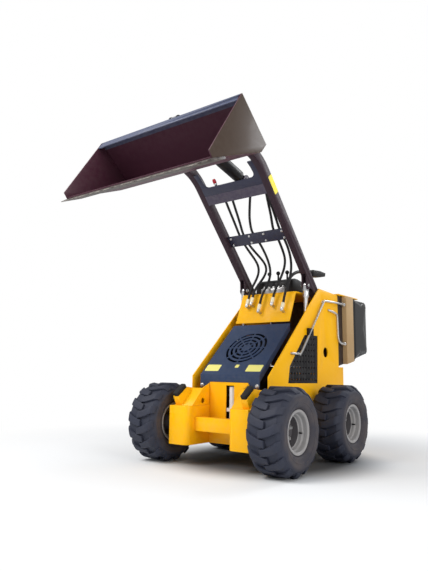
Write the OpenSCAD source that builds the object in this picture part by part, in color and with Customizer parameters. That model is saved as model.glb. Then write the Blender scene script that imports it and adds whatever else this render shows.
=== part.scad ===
/* [Wheels] */
// Distance between the front and rear axles
wheelbase = 670; // [620:5:760]
// Distance between the left and right tyre centres
track = 840; // [820:5:960]
// Outer diameter of a tyre at its lug tips
tyre_d = 457; // [440:1:480]
// Width of a tyre
tyre_w = 215; // [190:1:225]
// Diameter of the rim's bead seat
rim_d = 203; // [190:1:215]
// Height of a rim flange above the bead seat
flange_h = 13; // [8:1:18]
// Thickness of the rim metal
rim_t = 5; // [3:0.5:8]
// Depth of the wheel disc behind the wheel's middle plane
disc_back = 20; // [0:1:40]
// Diameter of a wheel spindle
spindle_d = 50; // [40:1:60]
// Outer diameter of a wheel hub
hub_d = 90; // [80:1:110]

/* [Chassis] */
// Distance between the inner walls of the chain cases
case_gap = 276; // [260:2:300]
// Distance between the outer walls of the chain cases
body_w = 552; // [540:2:580]
// Height of the chain cases' underside above the ground
clearance_h = 115; // [90:1:140]
// Height of the chain cases
case_h = 218; // [180:1:240]
// How far the chain cases reach ahead of the front axle
case_ahead = 115; // [90:1:140]
// How far the chain cases reach behind the rear axle
case_behind = 385; // [340:1:420]
// Thickness of the frame plates
plate_t = 8; // [6:0.5:10]
// Forward place of the front plate and the towers' feet
front_x = 250; // [235:1:265]
// Height of a tower's front foot above the ground
foot_z = 503; // [480:1:530]
// Height of a tower's top front corner above the ground
tower_z = 1077; // [1040:1:1120]
// Place of a tower's top front corner behind the wheelbase's middle
tower_x = 373; // [350:1:400]
// Place of a tower's rear edge behind the wheelbase's middle
tower_rear = 650; // [620:1:690]
// Diameter of a tie-down hole
tie_hole_d = 30; // [20:1:34]
// Width of the engine block
engine_w = 250; // [200:2:256]

/* [Hood] */
// Width of the hood between the lift arms
hood_w = 426; // [400:2:430]
// Thickness of the hood sheet
hood_t = 5; // [3:0.5:8]
// Outer diameter of the fan grille
grille_d = 276; // [220:2:320]
// Number of ring slots in the fan grille
grille_rings = 4; // [3:1:5]
// Number of spokes across the fan grille
grille_spokes = 8; // [4:1:10]

/* [Rear] */
// Width of the operator's pad
pad_w = 600; // [560:2:620]
// Depth of the operator's pad
pad_depth = 262; // [200:2:300]
// Depth of the pad's backing block
backing_depth = 118; // [60:2:130]
// Depth of the rear frame box
rear_box_depth = 91; // [60:1:110]

/* [Boom] */
// Place of the boom pivot behind the wheelbase's middle
pivot_x = 425; // [410:1:440]
// Height of the boom pivot above the ground
pivot_z = 987; // [970:1:1000]
// Rise angle of the raised lift arms
arm_angle = 47; // [45:0.5:49]
// Straight length of a lift arm from its pivot
arm_len = 975; // [940:5:1010]
// Depth of a lift arm
arm_depth = 60; // [54:1:66]
// Width of a lift arm
arm_w = 40; // [36:1:42]
// Distance between the lift arms' middles
arm_spread = 482; // [478:1:486]
// Radius of the bend at the arms' upper end
neck_r = 300; // [250:5:350]
// Rise angle of the arms beyond the bend
neck_angle = 7; // [4:0.5:10]
// Length of the arms beyond the bend
neck_len = 321; // [300:1:340]
// Diameter of the boom and bucket hinge pins
hinge_pin_d = 32; // [26:1:36]

/* [Bucket] */
// Overall width of the bucket
bucket_w = 1014; // [960:2:1040]
// Length of the bucket floor
floor_len = 427; // [400:1:450]
// Height of the bucket's top edge above its floor
bucket_h = 288; // [270:1:310]
// How far the top edge stands ahead of the heel
bucket_lean = 70; // [50:1:90]
// Downward tilt of the bucket floor as parked
bucket_tip = 21.9; // [20:0.1:24]
// Height of the bucket hinge above the floor
hinge_up = 226; // [215:1:240]
// Place of the bucket hinge behind the heel
hinge_back = 25; // [15:1:35]
// Thickness of the bucket's sheets
bucket_t = 8; // [6:0.5:10]

/* [Cylinders] */
// Diameter of a lift cylinder's barrel
lift_barrel_d = 44; // [38:1:44]
// Diameter of a lift cylinder's rod
lift_rod_d = 28; // [22:1:30]
// Diameter of the tilt cylinder's barrel
tilt_barrel_d = 76; // [66:1:80]
// Diameter of the tilt cylinder's rod
tilt_rod_d = 36; // [30:1:40]
// Lever of the tilt cylinder's rod eye about the bucket hinge
tilt_lever = 62; // [58:1:66]

/* [Hidden] */
$fn = 64;

// Paint and metal
yellow = [0.98, 0.66, 0.03];
black = [0.08, 0.08, 0.09];
dark_blue = [0.12, 0.12, 0.17];
steel = [0.75, 0.76, 0.77];
rubber = [0.12, 0.12, 0.12];
tan = [0.72, 0.6, 0.43];

// Clearances: pins and rods, pieces that pass each other, soft solids
pin_gap = 0.05;
pass_gap = 5;
soft_gap = 0.3;

// Wheels
wheel_r = tyre_d / 2;
axle_x = wheelbase / 2;
rim_r = rim_d / 2;
flange_r = rim_r + flange_h;
rim_half = tyre_w / 2 - 18.5;
flange_t = 6;
well_r = rim_r - 14;
hub_reach = 98;
hub_face = 8;
spindle_stop = 10;
boss_d = 120;
boss_t = 34;
well_half = 42;
well_slope = 12;

// Tread: two staggered rows of cranked lugs on the carcass
lug_h = 15;
lug_count = 15;
lug_sweep = 9;
lug_lap = 16;
lug_root = 40;
shoulder = 34;
shoulder_drop = 24;
carcass_r = wheel_r - lug_h;

// Chassis
case_in = case_gap / 2;
body_y = body_w / 2;
case_top = clearance_h + case_h;
case_front = axle_x + case_ahead;
case_rear = -axle_x - case_behind;
case_chamfer = 110;
tower_in = body_y - plate_t;
rear_step_z = case_top + 235;
slope_angle = atan2(tower_z - foot_z, front_x + tower_x);
gusset_z = case_top + 127;
gusset_knee_z = case_top + 99;
gusset_knee_x = front_x + 64;
gusset_foot_x = case_front - 38;
tie_hole_x = front_x + 62;
tie_hole_z = case_top + 26;

// Hood sits flush with the towers' slope, from its foot to the bulkhead
hood_y = hood_w / 2;
hood_foot = [front_x - 4, foot_z + 8];
hood_len = 470;
hood_skirt = 45;
hood_end = hood_foot + hood_len * [-cos(slope_angle), sin(slope_angle)];
flange_drop = 42;
flange_leg = 78;
flange_leg_y = 138;
grille_at = 244;
bulkhead_y = 204;
bulkhead_foot = hood_end + [-6, 14];
bulkhead_top = [bulkhead_foot[0] - 82, tower_z - 42];
deck_z = bulkhead_top[1];
bulkhead_lean = atan2(bulkhead_top[1] - bulkhead_foot[1], bulkhead_top[0] - bulkhead_foot[0]);

// Hoses leave elbows on the bulkhead, loop back and cross the boom's cross plate
hose_r = 8;
elbow_out = 30;
crimp_len = 50;
crimp_r = hose_r + 3;
port_y = [-128, -98, -26, 65, 150];
port_row = [0.54, 0.6, 0.33, 0.54, 0.33];
plate_y = [-130, -98, -13, 135, 177];
tube_y = [-118, -64, 72, 188, 204];
hose_slack = [146, 196, 134, 92, 86];
hose_lift = [0, 0, 0, 0, -12];

// Boom: the path of the arms' middle line, raised
pivot = [-pivot_x, pivot_z];
function heading(a) = [cos(a), sin(a)];
function across(a) = [-sin(a), cos(a)];
function along(s, up) = pivot + s * heading(arm_angle) + up * across(arm_angle);
neck_start = along(arm_len, 0);
neck_centre = neck_start - neck_r * across(arm_angle);
function bend(a, up) = neck_centre + (neck_r + up) * across(a);
neck_end = bend(neck_angle, 0);
hinge = neck_end + neck_len * heading(neck_angle);
arm_half = arm_depth / 2;
arm_y = arm_spread / 2;
arm_in = arm_y - arm_w / 2;
arm_out = arm_y + arm_w / 2;
bend_steps = 10;
tail_r = arm_half + 4;
eye_r = arm_half + 8;
tube_foot = arm_len - 123;
tube_h = 65;
plate_foot = arm_len - 464;
plate_h = 79;

// Lift cylinders stand on the chain cases and push under the arms
lift_foot = [185 - pivot_x, case_top + 62];
lift_station = 185.5;
lift_drop = 55;
lift_top = along(lift_station, -lift_drop);
lift_vec = lift_top - lift_foot;
lift_len = norm(lift_vec);
lift_lean = atan2(lift_vec[1], lift_vec[0]);
lift_eye_r = 20;
lift_eye_w = 22;
lift_pin_d = 20;
lift_barrel_len = 386;
lift_rod_len = 425;
ear_t = 6;
ear_gap = lift_eye_w / 2 + 2;
lift_ear_r = 26;

// Tilt cylinder between the cross tube and the coupler
tilt_foot = along(tube_foot + tube_h - 5, arm_half + 89);
tilt_rest = 66;
tilt_top = hinge + tilt_lever * heading(tilt_rest);
tilt_vec = tilt_top - tilt_foot;
tilt_len = norm(tilt_vec);
tilt_lean = atan2(tilt_vec[1], tilt_vec[0]);
tilt_eye_r = 22;
tilt_eye_w = 36;
tilt_pin_d = 24;
tilt_shank = 54;
tilt_barrel_len = 430;
tilt_rod_len = 480;
lug_t = 10;
lug_gap = tilt_eye_w / 2 + 2;

// Bucket outline about its hinge, floor level
heel = [hinge_back, -hinge_up];
floor_end = heel + [floor_len, 0];
side_nose = floor_end + [11, 36];
bucket_top = heel + [bucket_lean, bucket_h];
bucket_back = heel + [-61, 34];
edge_tip = floor_end + [45, 0];
bucket_y = bucket_w / 2;
wall_vec = bucket_top - bucket_back;
wall_len = norm(wall_vec);
wall_angle = atan2(wall_vec[1], wall_vec[0]);
ear_in = arm_in - pass_gap - 28;
ear_w = 28;

// Rear module
box_end = -tower_rear - rear_box_depth;
backing_end = box_end - backing_depth;
pad_end = backing_end - pad_depth;
pad_z = tower_z - 10;
pad_corner = 42;
roof_reach = 120;
roof_y = body_y + 8;
pad_foot_z = rear_step_z + 5;
pad_rise = 0.186;

// Control station on the deck
deck_top = deck_z + plate_t;
console_x = bulkhead_top[0] - 62;
console_d = 220;
console_y = 140;
console_h = 104;
lever_x = console_x - 66;
lever_pitch = 70;
lever_h = 50;
lever_r = 6;
knob_r = 14;
block_w = 180;
block_h = 36;
bar_r = 11;
bar_y0 = 132;
bar_rise = 169;
paddle_t = 44;

// Pipes along the towers' outer faces
pipe_r = 7;
clamp_t = 4;
pipe_y = body_y + pipe_r + clamp_t;
pipe_low = foot_z + 138;
pipe_high = tower_z - 71;
pipe_foot = front_x - 325;
pipe_top = -tower_x - 46;
loop_top = tower_z - 145;
loop_low = tower_z - 347;
fitting_x = box_end + 16;
nut_len = 22;

module both_sides() {
  children();
  mirror([0, 1, 0]) children();
}

// A profile in the side view, from y to y + t
module side_plate(y, t) {
  translate([0, y + t, 0]) rotate([90, 0, 0]) linear_extrude(t) children();
}

// A round bar across the machine, from y to y + w, at a point of the side view
module cross_bar(p, y, w, d) {
  translate([p[0], y + w, p[1]]) rotate([90, 0, 0]) cylinder(d = d, h = w);
}

// A rectangle in the arms' own direction
module arm_box(s, up, len, h, y, w) {
  p = along(s, up);
  translate([p[0], y, p[1]]) rotate([0, -arm_angle, 0]) cube([len, w, h]);
}

// A solid drawn along the line of a cylinder, its foot at the origin and its length along +X
module along_lift() {
  translate([lift_foot[0], 0, lift_foot[1]]) rotate([0, -lift_lean, 0]) children();
}

module along_tilt() {
  translate([tilt_foot[0], 0, tilt_foot[1]]) rotate([0, -tilt_lean, 0]) children();
}

module bar_x(x, len, d) {
  translate([x, 0, 0]) rotate([0, 90, 0]) cylinder(d = d, h = len);
}

module bar_y(x, len, d) {
  translate([x, len / 2, 0]) rotate([90, 0, 0]) cylinder(d = d, h = len);
}

// A smooth curve through a list of points
function curve_at(a, b, c, d, t) =
  0.5 * (2 * b + (c - a) * t + (2 * a - 5 * b + 4 * c - d) * t * t + (3 * b - a - 3 * c + d) * t * t * t);
function smooth(p, steps) = concat(
  [for (i = [0 : len(p) - 2], j = [0 : steps - 1])
    curve_at(p[max(i - 1, 0)], p[i], p[i + 1], p[min(i + 2, len(p) - 1)], j / steps)],
  [p[len(p) - 1]]
);

// A round bar swept along a list of points
function unit(v) = v / norm(v);
function tangent(p, i) = unit(p[min(i + 1, len(p) - 1)] - p[max(i - 1, 0)]);
module bent_bar(path, r, sides = 10) {
  n = len(path);
  side_hint = [0.23, 1, 0.11];
  corners = [for (i = [0 : n - 1])
    let (t = tangent(path, i), u = unit(cross(t, side_hint)), v = cross(t, u))
    for (k = [0 : sides - 1]) path[i] + r * (cos(360 * k / sides) * u + sin(360 * k / sides) * v)];
  walls = [for (i = [0 : n - 2], k = [0 : sides - 1])
    let (a = i * sides + k, b = i * sides + (k + 1) % sides)
    for (f = [[a, a + sides, b + sides], [a, b + sides, b]]) f];
  caps = [
    [for (k = [0 : sides - 1]) k],
    [for (k = [sides - 1 : -1 : 0]) (n - 1) * sides + k]
  ];
  polyhedron(corners, concat(walls, caps));
}

module place_wheel(x, side) {
  translate([x, side * track / 2, wheel_r]) rotate([-90 * side, 0, 0]) children();
}

// A lug's length from one station to another, standing on the carcass
module tyre_lug(from, to) {
  rotate_extrude(angle = lug_sweep) polygon([
    [carcass_r - lug_root, from], [wheel_r, from], [wheel_r, tyre_w / 2 - shoulder],
    [wheel_r - shoulder_drop, to], [carcass_r - lug_root, to]
  ]);
}

module tyre() {
  bead = rim_half - flange_t - soft_gap;
  bulge_r = (carcass_r + flange_r) / 2;
  half = tyre_w / 2;
  pitch = 360 / lug_count;
  rotate_extrude() polygon([
    [rim_r + soft_gap, -bead], [flange_r + 3, -bead], [flange_r + 10, -half + 12],
    [bulge_r, -half], [carcass_r - shoulder_drop, -half + 5], [carcass_r, -half + shoulder],
    [carcass_r, half - shoulder], [carcass_r - shoulder_drop, half - 5], [bulge_r, half],
    [flange_r + 10, half - 12], [flange_r + 3, bead], [rim_r + soft_gap, bead]
  ]);
  for (i = [0 : lug_count - 1], side = [0, 1])
    rotate([0, 0, (i + side / 2) * pitch]) mirror([0, 0, side]) tyre_lug(-lug_lap, half - 12);
}

module rim() {
  lip = rim_half - flange_t;
  difference() {
    union() {
      rotate_extrude() polygon([
        [flange_r, -rim_half], [flange_r, -lip], [rim_r, -lip], [rim_r, -well_half - well_slope],
        [well_r, -well_half], [well_r, well_half], [rim_r, well_half + well_slope], [rim_r, lip],
        [flange_r, lip], [flange_r, rim_half], [rim_r - rim_t, rim_half],
        [rim_r - rim_t, well_half + well_slope], [well_r - rim_t, well_half],
        [well_r - rim_t, -well_half], [rim_r - rim_t, -well_half - well_slope],
        [rim_r - rim_t, -rim_half]
      ]);
      translate([0, 0, -disc_back - rim_t]) cylinder(r = well_r - 1, h = rim_t);
      translate([0, 0, -hub_reach]) cylinder(d = hub_d, h = hub_reach + hub_face);
    }
    translate([0, 0, -hub_reach - 1])
      cylinder(d = spindle_d + 2 * pin_gap, h = hub_reach + 1 - spindle_stop + 2);
  }
}

module chain_cases() {
  corner_r = 40;
  color(yellow) both_sides() intersection() {
    translate([0, 0, clearance_h]) linear_extrude(case_h) union() {
      translate([case_rear, case_in]) square([case_front - case_rear - corner_r, body_y - case_in]);
      translate([case_front - 2 * corner_r, case_in + corner_r])
        square([2 * corner_r, body_y - case_in - corner_r]);
      translate([case_front - corner_r, case_in + corner_r]) circle(r = corner_r);
    }
    side_plate(case_in, body_y - case_in) polygon([
      [case_rear, case_top], [case_front, case_top], [case_front, clearance_h],
      [case_rear + case_chamfer, clearance_h], [case_rear, clearance_h + case_chamfer]
    ]);
  }
}

module belly() {
  rear = case_rear + case_chamfer;
  color(yellow) translate([rear, -case_in, clearance_h]) cube([front_x - rear, case_gap, plate_t]);
}

module front_plate() {
  slot_w = 58;
  slot_z = 250;
  color(yellow) difference() {
    translate([front_x - plate_t, -case_in, clearance_h + plate_t])
      cube([plate_t, case_gap, foot_z - flange_drop + 6 - clearance_h - plate_t]);
    translate([front_x - plate_t - 1, -18, slot_z])
      cube([plate_t + 2, slot_w, foot_z - flange_drop - slot_z - 12]);
  }
}

module cross_beam() {
  beam_h = 78;
  beam_d = 50;
  color(yellow) translate([front_x + 85, -case_in, clearance_h + 77]) difference() {
    cube([beam_d, case_gap, beam_h]);
    translate([-1, -1, plate_t]) cube([beam_d + 1 - plate_t, case_gap + 2, beam_h - 2 * plate_t]);
  }
}

module gussets() {
  color(yellow) both_sides() {
    difference() {
      side_plate(case_in, plate_t) polygon([
        [front_x, case_top], [gusset_foot_x, case_top], [gusset_knee_x, gusset_knee_z],
        [front_x, gusset_z]
      ]);
      cross_bar([tie_hole_x, tie_hole_z], case_in - 1, plate_t + 2, tie_hole_d);
    }
    side_plate(case_in + plate_t, tower_in - case_in - plate_t) polygon([
      [gusset_foot_x, case_top], [gusset_knee_x, gusset_knee_z],
      [gusset_knee_x - plate_t, gusset_knee_z], [gusset_foot_x - 1.5 * plate_t, case_top]
    ]);
    side_plate(tower_in - 52, 44) polygon([
      [gusset_foot_x, case_top], [gusset_foot_x + 26, case_top + 50],
      [gusset_knee_x + 48, case_top + 105], [gusset_knee_x, gusset_knee_z]
    ]);
  }
}

module bumpers() {
  foot = [gusset_foot_x + 26, case_top + 50];
  head = [gusset_knee_x + 48, case_top + 105];
  v = head - foot;
  lean = atan2(v[1], v[0]);
  thick = 22;
  color(rubber) both_sides()
    translate([foot[0], tower_in - 48, foot[1]]) rotate([0, -lean, 0])
      translate([0, 0, -thick]) linear_extrude(thick) union() {
        translate([0, 9]) square([norm(v), 18]);
        translate([9, 0]) square([norm(v) - 18, 36]);
        for (x = [9, norm(v) - 9], y = [9, 27]) translate([x, y]) circle(r = 9);
      }
}

module tower_outline() {
  polygon([
    [front_x, case_top], [front_x, foot_z], [-tower_x, tower_z], [-tower_rear, tower_z - 14],
    [-tower_rear, rear_step_z], [case_rear, rear_step_z], [case_rear, case_top]
  ]);
}

module vent_outline() {
  polygon([
    [-tower_x + 203, foot_z + 257], [-tower_x + 28, foot_z + 261], [-tower_x + 38, foot_z - 40],
    [front_x - 215, foot_z - 37], [front_x - 235, foot_z + 63]
  ]);
}

module side_towers() {
  access_hole = [-tower_x - 82, foot_z + 159];
  access_hole_d = 66;
  color(yellow) both_sides() difference() {
    side_plate(tower_in, plate_t) tower_outline();
    side_plate(tower_in - 1, plate_t + 2) vent_outline();
    cross_bar(access_hole, tower_in - 1, plate_t + 2, access_hole_d);
    cross_bar(pivot, tower_in - 1, plate_t + 2, hinge_pin_d);
  }
}

module vents() {
  vent_hole_d = 13;
  vent_pitch = 36;
  vent_columns = 9;
  vent_rows = 8;
  margin = vent_hole_d;
  color(black) both_sides() side_plate(tower_in + 1, plate_t - 4) difference() {
    vent_outline();
    intersection() {
      for (i = [0 : vent_columns - 1], k = [0 : vent_rows - 1])
        translate([front_x - 255 - i * vent_pitch, foot_z - 16 + k * vent_pitch]) circle(d = vent_hole_d);
      translate([-margin, 0]) vent_outline();
    }
  }
}

module grille_slots() {
  ring = grille_d / 2 / (grille_rings + 0.6);
  difference() {
    for (i = [1 : grille_rings]) difference() {
      circle(r = ring * (i + 0.55));
      circle(r = ring * (i + 0.05));
    }
    for (i = [0 : grille_spokes / 2 - 1]) rotate(i * 360 / grille_spokes)
      square([grille_d + 10, 9], center = true);
  }
}

module hood() {
  color(black) difference() {
    union() {
      translate([hood_foot[0], -hood_y, hood_foot[1]]) rotate([0, 180 + slope_angle, 0])
        mirror([0, 0, 1]) translate([0, 0, -hood_t]) cube([hood_len, hood_w, hood_t]);
      both_sides() side_plate(hood_y - hood_t, hood_t) polygon([
        hood_foot, hood_end, hood_end - [0, hood_skirt], hood_foot - [0, hood_skirt]
      ]);
      difference() {
        translate([hood_foot[0] - hood_t, -hood_y, hood_foot[1] - flange_leg])
          cube([hood_t, hood_w, flange_leg]);
        translate([hood_foot[0] - hood_t - 1, -flange_leg_y, hood_foot[1] - flange_leg - 1])
          cube([hood_t + 2, 2 * flange_leg_y, flange_leg - flange_drop + 1]);
      }
    }
    translate([hood_foot[0], 0, hood_foot[1]]) rotate([0, slope_angle - 180, 0])
      translate([grille_at, 0, -40]) linear_extrude(80) grille_slots();
  }
}

module bulkhead() {
  color(yellow) side_plate(-bulkhead_y, 2 * bulkhead_y) polygon([
    bulkhead_foot, bulkhead_top, bulkhead_top - [plate_t, 0], bulkhead_foot - [plate_t, 0]
  ]);
}

module deck() {
  color(yellow) {
    translate([-tower_rear, -bulkhead_y, deck_z])
      cube([tower_rear + bulkhead_top[0], 2 * bulkhead_y, plate_t]);
    translate([backing_end - roof_reach, -roof_y, pad_z])
      cube([roof_reach - tower_rear - backing_end, 2 * roof_y, plate_t]);
  }
}

module rear_panel() {
  color(yellow) translate([case_rear, -tower_in, case_top])
    cube([plate_t, 2 * tower_in, rear_step_z - case_top]);
}

// The rear module's side outline between two stations behind the towers
function pad_floor(x) = pad_foot_z + pad_rise * (-tower_rear - x);
module rear_block(x0, x1, half) {
  side_plate(-half, 2 * half) polygon([
    [x0, pad_z], [x1, pad_z], [x1, pad_floor(x1)], [x0, pad_floor(x0)]
  ]);
}

module rear_box() {
  color(dark_blue) rear_block(-tower_rear, box_end, tower_in);
}

module pad_backing() {
  color(tan) rear_block(box_end, backing_end, pad_w / 2);
}

module operator_pad() {
  front = backing_end - soft_gap;
  top = pad_z - soft_gap;
  rear = pad_end + pad_corner;
  color(black) side_plate(soft_gap - pad_w / 2, pad_w - 2 * soft_gap) polygon(concat(
    [[front, top]],
    [for (a = [0 : 15 : 90]) [rear, top - pad_corner] + pad_corner * across(a)],
    [for (a = [0 : 15 : 90]) [rear, pad_floor(pad_end) + pad_corner] - pad_corner * heading(a)],
    [[front, pad_floor(front)]]
  ));
}

module console() {
  x = console_x;
  z = deck_top;
  color(black) side_plate(-console_y, 2 * console_y) polygon([
    [x, z], [x - 12, z + console_h - 18], [x - 48, z + console_h], [x - 84, z + console_h],
    [x - console_d, z + console_h - 22], [x - console_d, z]
  ]);
}

module valve_block() {
  ports = 5;
  depth = 34;
  port_r = 11;
  pitch = block_w / ports;
  color(steel) translate([console_x, 16 - block_w / 2, deck_top]) {
    cube([depth, block_w, block_h]);
    for (i = [0 : ports - 1]) translate([depth / 2, (i + 0.5) * pitch, block_h]) {
      cylinder(r = port_r + 2, h = 8);
      cylinder(r = port_r - 3, h = 16);
    }
  }
}

module levers() {
  color(black) for (i = [-1 : 1]) translate([lever_x, i * lever_pitch, deck_top + console_h]) {
    cylinder(r = lever_r, h = lever_h);
    translate([0, 0, lever_h]) sphere(r = knob_r);
  }
}

module grab_bar() {
  x = bulkhead_top[0] - 18;
  z = deck_top;
  y = bar_y0;
  tip = [x - 500, z + 185];
  color(black) {
    bent_bar(concat([[x, y, z]], smooth([
      [x, y, z + 14], [x - 10, y, z + 55], [x - 45, y, z + 108], [x - 125, y, z + 150],
      [x - 205, y + 2, z + 164], [x - 330, y + 8, z + bar_rise]
    ], 3)), bar_r);
    side_plate(y + 8 - paddle_t / 2, paddle_t) polygon([
      [x - 310, z + 145], [x - 310, z + 193], [x - 420, tip[1] + 16], [tip[0], tip[1] + 12],
      [tip[0] + 8, tip[1] - 14], [x - 420, z + 156]
    ]);
  }
}

module pipes() {
  end = fitting_x + nut_len + 2 * soft_gap;
  y = pipe_y;
  color(steel) both_sides() {
    bent_bar(concat([[6, body_y, pipe_low]], smooth([
      [6, y - 5, pipe_low], [-2, y, pipe_low], [-75, y, pipe_low], [pipe_foot - 44, y, pipe_low + 23],
      [pipe_top + 32, y, pipe_high - 46], [pipe_top, y, pipe_high - 14], [pipe_top - 27, y, pipe_high - 5],
      [end + 120, y, pipe_high], [end + 60, y, pipe_high], [end, y, pipe_high]
    ], 2)), pipe_r);
    bent_bar(concat([[-tower_rear + 153, body_y, loop_top + 14]], smooth([
      [-tower_rear + 153, y - 5, loop_top + 14], [-tower_rear + 140, y, loop_top + 10],
      [-tower_rear + 51, y, loop_top - 1], [-tower_rear + 31, y, loop_top - 30],
      [-tower_rear + 24, y, loop_low + 38], [-tower_rear - 3, y, loop_low + 9], [end + 24, y, loop_low],
      [end, y, loop_low]
    ], 2)), pipe_r);
  }
}

// An elbow on the rear box for each pipe's end
module pipe_fittings() {
  nut_r = 13;
  color(steel) both_sides() for (z = [pipe_high, loop_low]) translate([fitting_x, 0, z]) {
    translate([0, pipe_y, 0]) sphere(r = nut_r);
    translate([0, tower_in, 0]) rotate([-90, 0, 0]) cylinder(r = nut_r - 3, h = pipe_y - tower_in);
    translate([0, pipe_y, 0]) rotate([0, 90, 0]) cylinder(r = nut_r, h = nut_len, $fn = 6);
  }
}

module pipe_clamps() {
  clamp_w = 60;
  clamp_h = 44;
  run = [pipe_top + 32 - pipe_foot + 44, pipe_high - 46 - pipe_low - 23];
  at = [pipe_foot - 44, pipe_low + 23] + 0.4 * run;
  color(black) both_sides() translate([at[0], body_y, at[1]]) difference() {
    translate([-clamp_w / 2, 0, -clamp_h / 2]) cube([clamp_w, clamp_t + 2 * pipe_r, clamp_h]);
    rotate([0, -atan2(run[1], run[0]), 0])
      translate([-clamp_w, clamp_t - 0.2, -pipe_r - 1]) cube([2 * clamp_w, 3 * pipe_r, 2 * pipe_r + 2]);
  }
}

module engine() {
  engine_len = 340;
  engine_h = 440;
  color(steel) translate([front_x - 480, -engine_w / 2, clearance_h + plate_t])
    cube([engine_len, engine_w, engine_h]);
}

module axles() {
  reach = track / 2 - body_y - spindle_stop;
  color(steel) for (x = [-axle_x, axle_x], side = [-1, 1])
    translate([x, side * body_y, wheel_r]) rotate([-90 * side, 0, 0]) {
      cylinder(d = boss_d, h = boss_t);
      cylinder(d = spindle_d, h = reach);
    }
}

module filter() {
  color(steel) translate([front_x - plate_t - 24, 11, 0]) {
    translate([0, 0, 262]) cylinder(r = 21, h = 180);
    translate([0, -45, 300]) cube([24, 90, 20]);
  }
}

module cylinder_mounts() {
  color(black) both_sides() {
    for (y = [arm_y - ear_gap - ear_t, arm_y + ear_gap]) side_plate(y, ear_t) union() {
      translate([lift_foot[0] - lift_ear_r, case_top]) square([2 * lift_ear_r, lift_foot[1] - case_top]);
      translate(lift_foot) circle(r = lift_ear_r);
    }
    cross_bar(lift_foot, arm_y - ear_gap, 2 * ear_gap, lift_pin_d);
  }
}

module hose_fittings() {
  color(steel) for (i = [0 : len(port_y) - 1]) {
    p = bulkhead_foot + port_row[i] * (bulkhead_top - bulkhead_foot);
    translate([p[0], port_y[i], p[1]]) rotate([0, 180 - bulkhead_lean, 0]) {
      cylinder(r = crimp_r - 2, h = elbow_out);
      translate([0, 0, elbow_out]) sphere(r = crimp_r);
      translate([0, 0, elbow_out]) rotate([0, -90, 0]) cylinder(r = crimp_r, h = crimp_len);
    }
  }
}

module pivot_pins() {
  color(steel) both_sides()
    cross_bar(pivot, arm_in - 4, body_y + 2 - arm_in + 4, hinge_pin_d - 2 * pin_gap);
}

module arm_outline() {
  top = [for (i = [0 : bend_steps])
    bend(arm_angle + (neck_angle - arm_angle) * i / bend_steps, arm_half)];
  low = [for (i = [bend_steps : -1 : 0])
    bend(arm_angle + (neck_angle - arm_angle) * i / bend_steps, -arm_half)];
  polygon(concat(
    [along(0, arm_half)], top,
    [hinge + arm_half * across(neck_angle), hinge - arm_half * across(neck_angle)], low,
    [along(0, -arm_half)]
  ));
  translate(pivot) circle(r = tail_r);
  translate(hinge) circle(r = eye_r);
}

module lift_ear_outline() {
  polygon([
    along(lift_station - 55, -arm_half), along(lift_station + 65, -arm_half),
    lift_top + lift_ear_r * heading(-30), lift_top - lift_ear_r * heading(30)
  ]);
  translate(lift_top) circle(r = lift_ear_r);
}

module arm() {
  difference() {
    union() {
      side_plate(arm_in, arm_w) arm_outline();
      for (y = [arm_y - ear_gap - ear_t, arm_y + ear_gap]) side_plate(y, ear_t) lift_ear_outline();
    }
    cross_bar(pivot, arm_in - 1, arm_w + 2, hinge_pin_d);
    cross_bar(hinge, arm_in - 1, arm_w + 2, hinge_pin_d);
    arm_box(lift_station - 65, -arm_half - 40, 140, 40 + 22, arm_y - ear_gap, 2 * ear_gap);
  }
}

module arm_left() { color(dark_blue) arm(); }
module arm_right() { color(dark_blue) mirror([0, 1, 0]) arm(); }

module cross_plate() {
  color(dark_blue) arm_box(plate_foot, 0, plate_h, plate_t, -arm_in, 2 * arm_in);
}

module cross_tube() {
  color(dark_blue) difference() {
    union() {
      arm_box(tube_foot, -arm_half, tube_h, arm_depth, -arm_in, 2 * arm_in);
      for (y = [-lug_gap - lug_t, lug_gap]) side_plate(y, lug_t) union() {
        polygon([
          along(tube_foot, arm_half), along(tube_foot + tube_h, arm_half),
          tilt_foot + 30 * heading(arm_angle), tilt_foot - 30 * heading(arm_angle)
        ]);
        translate(tilt_foot) circle(r = 30);
      }
    }
    cross_bar(tilt_foot, -60, 120, tilt_pin_d);
  }
}

module window_plate() {
  leg_w = 34;
  corner = 30;
  foot = tube_foot + tube_h;
  sheet = 8;
  lip = foot + 55;
  stop = neck_angle + 18;
  top = [for (i = [0 : bend_steps]) bend(arm_angle + (stop - arm_angle) * i / bend_steps, sheet - arm_half)];
  low = [for (i = [bend_steps : -1 : 0]) bend(arm_angle + (stop - arm_angle) * i / bend_steps, -arm_half)];
  half = arm_in - leg_w;
  color(dark_blue) difference() {
    side_plate(-arm_in, 2 * arm_in) polygon(concat(
      [along(foot, sheet - arm_half)], top, low, [along(foot, -arm_half)]
    ));
    translate([pivot[0], 0, pivot[1]]) rotate([0, -arm_angle, 0])
      translate([lip, 0, -400]) linear_extrude(800) union() {
        translate([corner, -half]) square([600, 2 * half]);
        translate([0, corner - half]) square([600, 2 * half - 2 * corner]);
        for (y = [-1, 1]) translate([corner, y * (half - corner)]) circle(r = corner);
      }
  }
}

module boom_pins() {
  d = hinge_pin_d - 2 * pin_gap;
  color(steel) {
    both_sides() {
      cross_bar(hinge, ear_in - 4, arm_out + 5 - ear_in + 4, d);
      cross_bar(lift_top, arm_y + ear_gap + ear_t, 3, lift_pin_d);
      cross_bar(lift_top, arm_y - ear_gap - ear_t - 3, 3, lift_pin_d);
    }
    cross_bar(tilt_foot, -lug_gap - lug_t - 5, 2 * (lug_gap + lug_t + 5), tilt_pin_d);
  }
}

module place_bucket() {
  translate([hinge[0], 0, hinge[1]]) rotate([0, bucket_tip, 0]) children();
}

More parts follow.
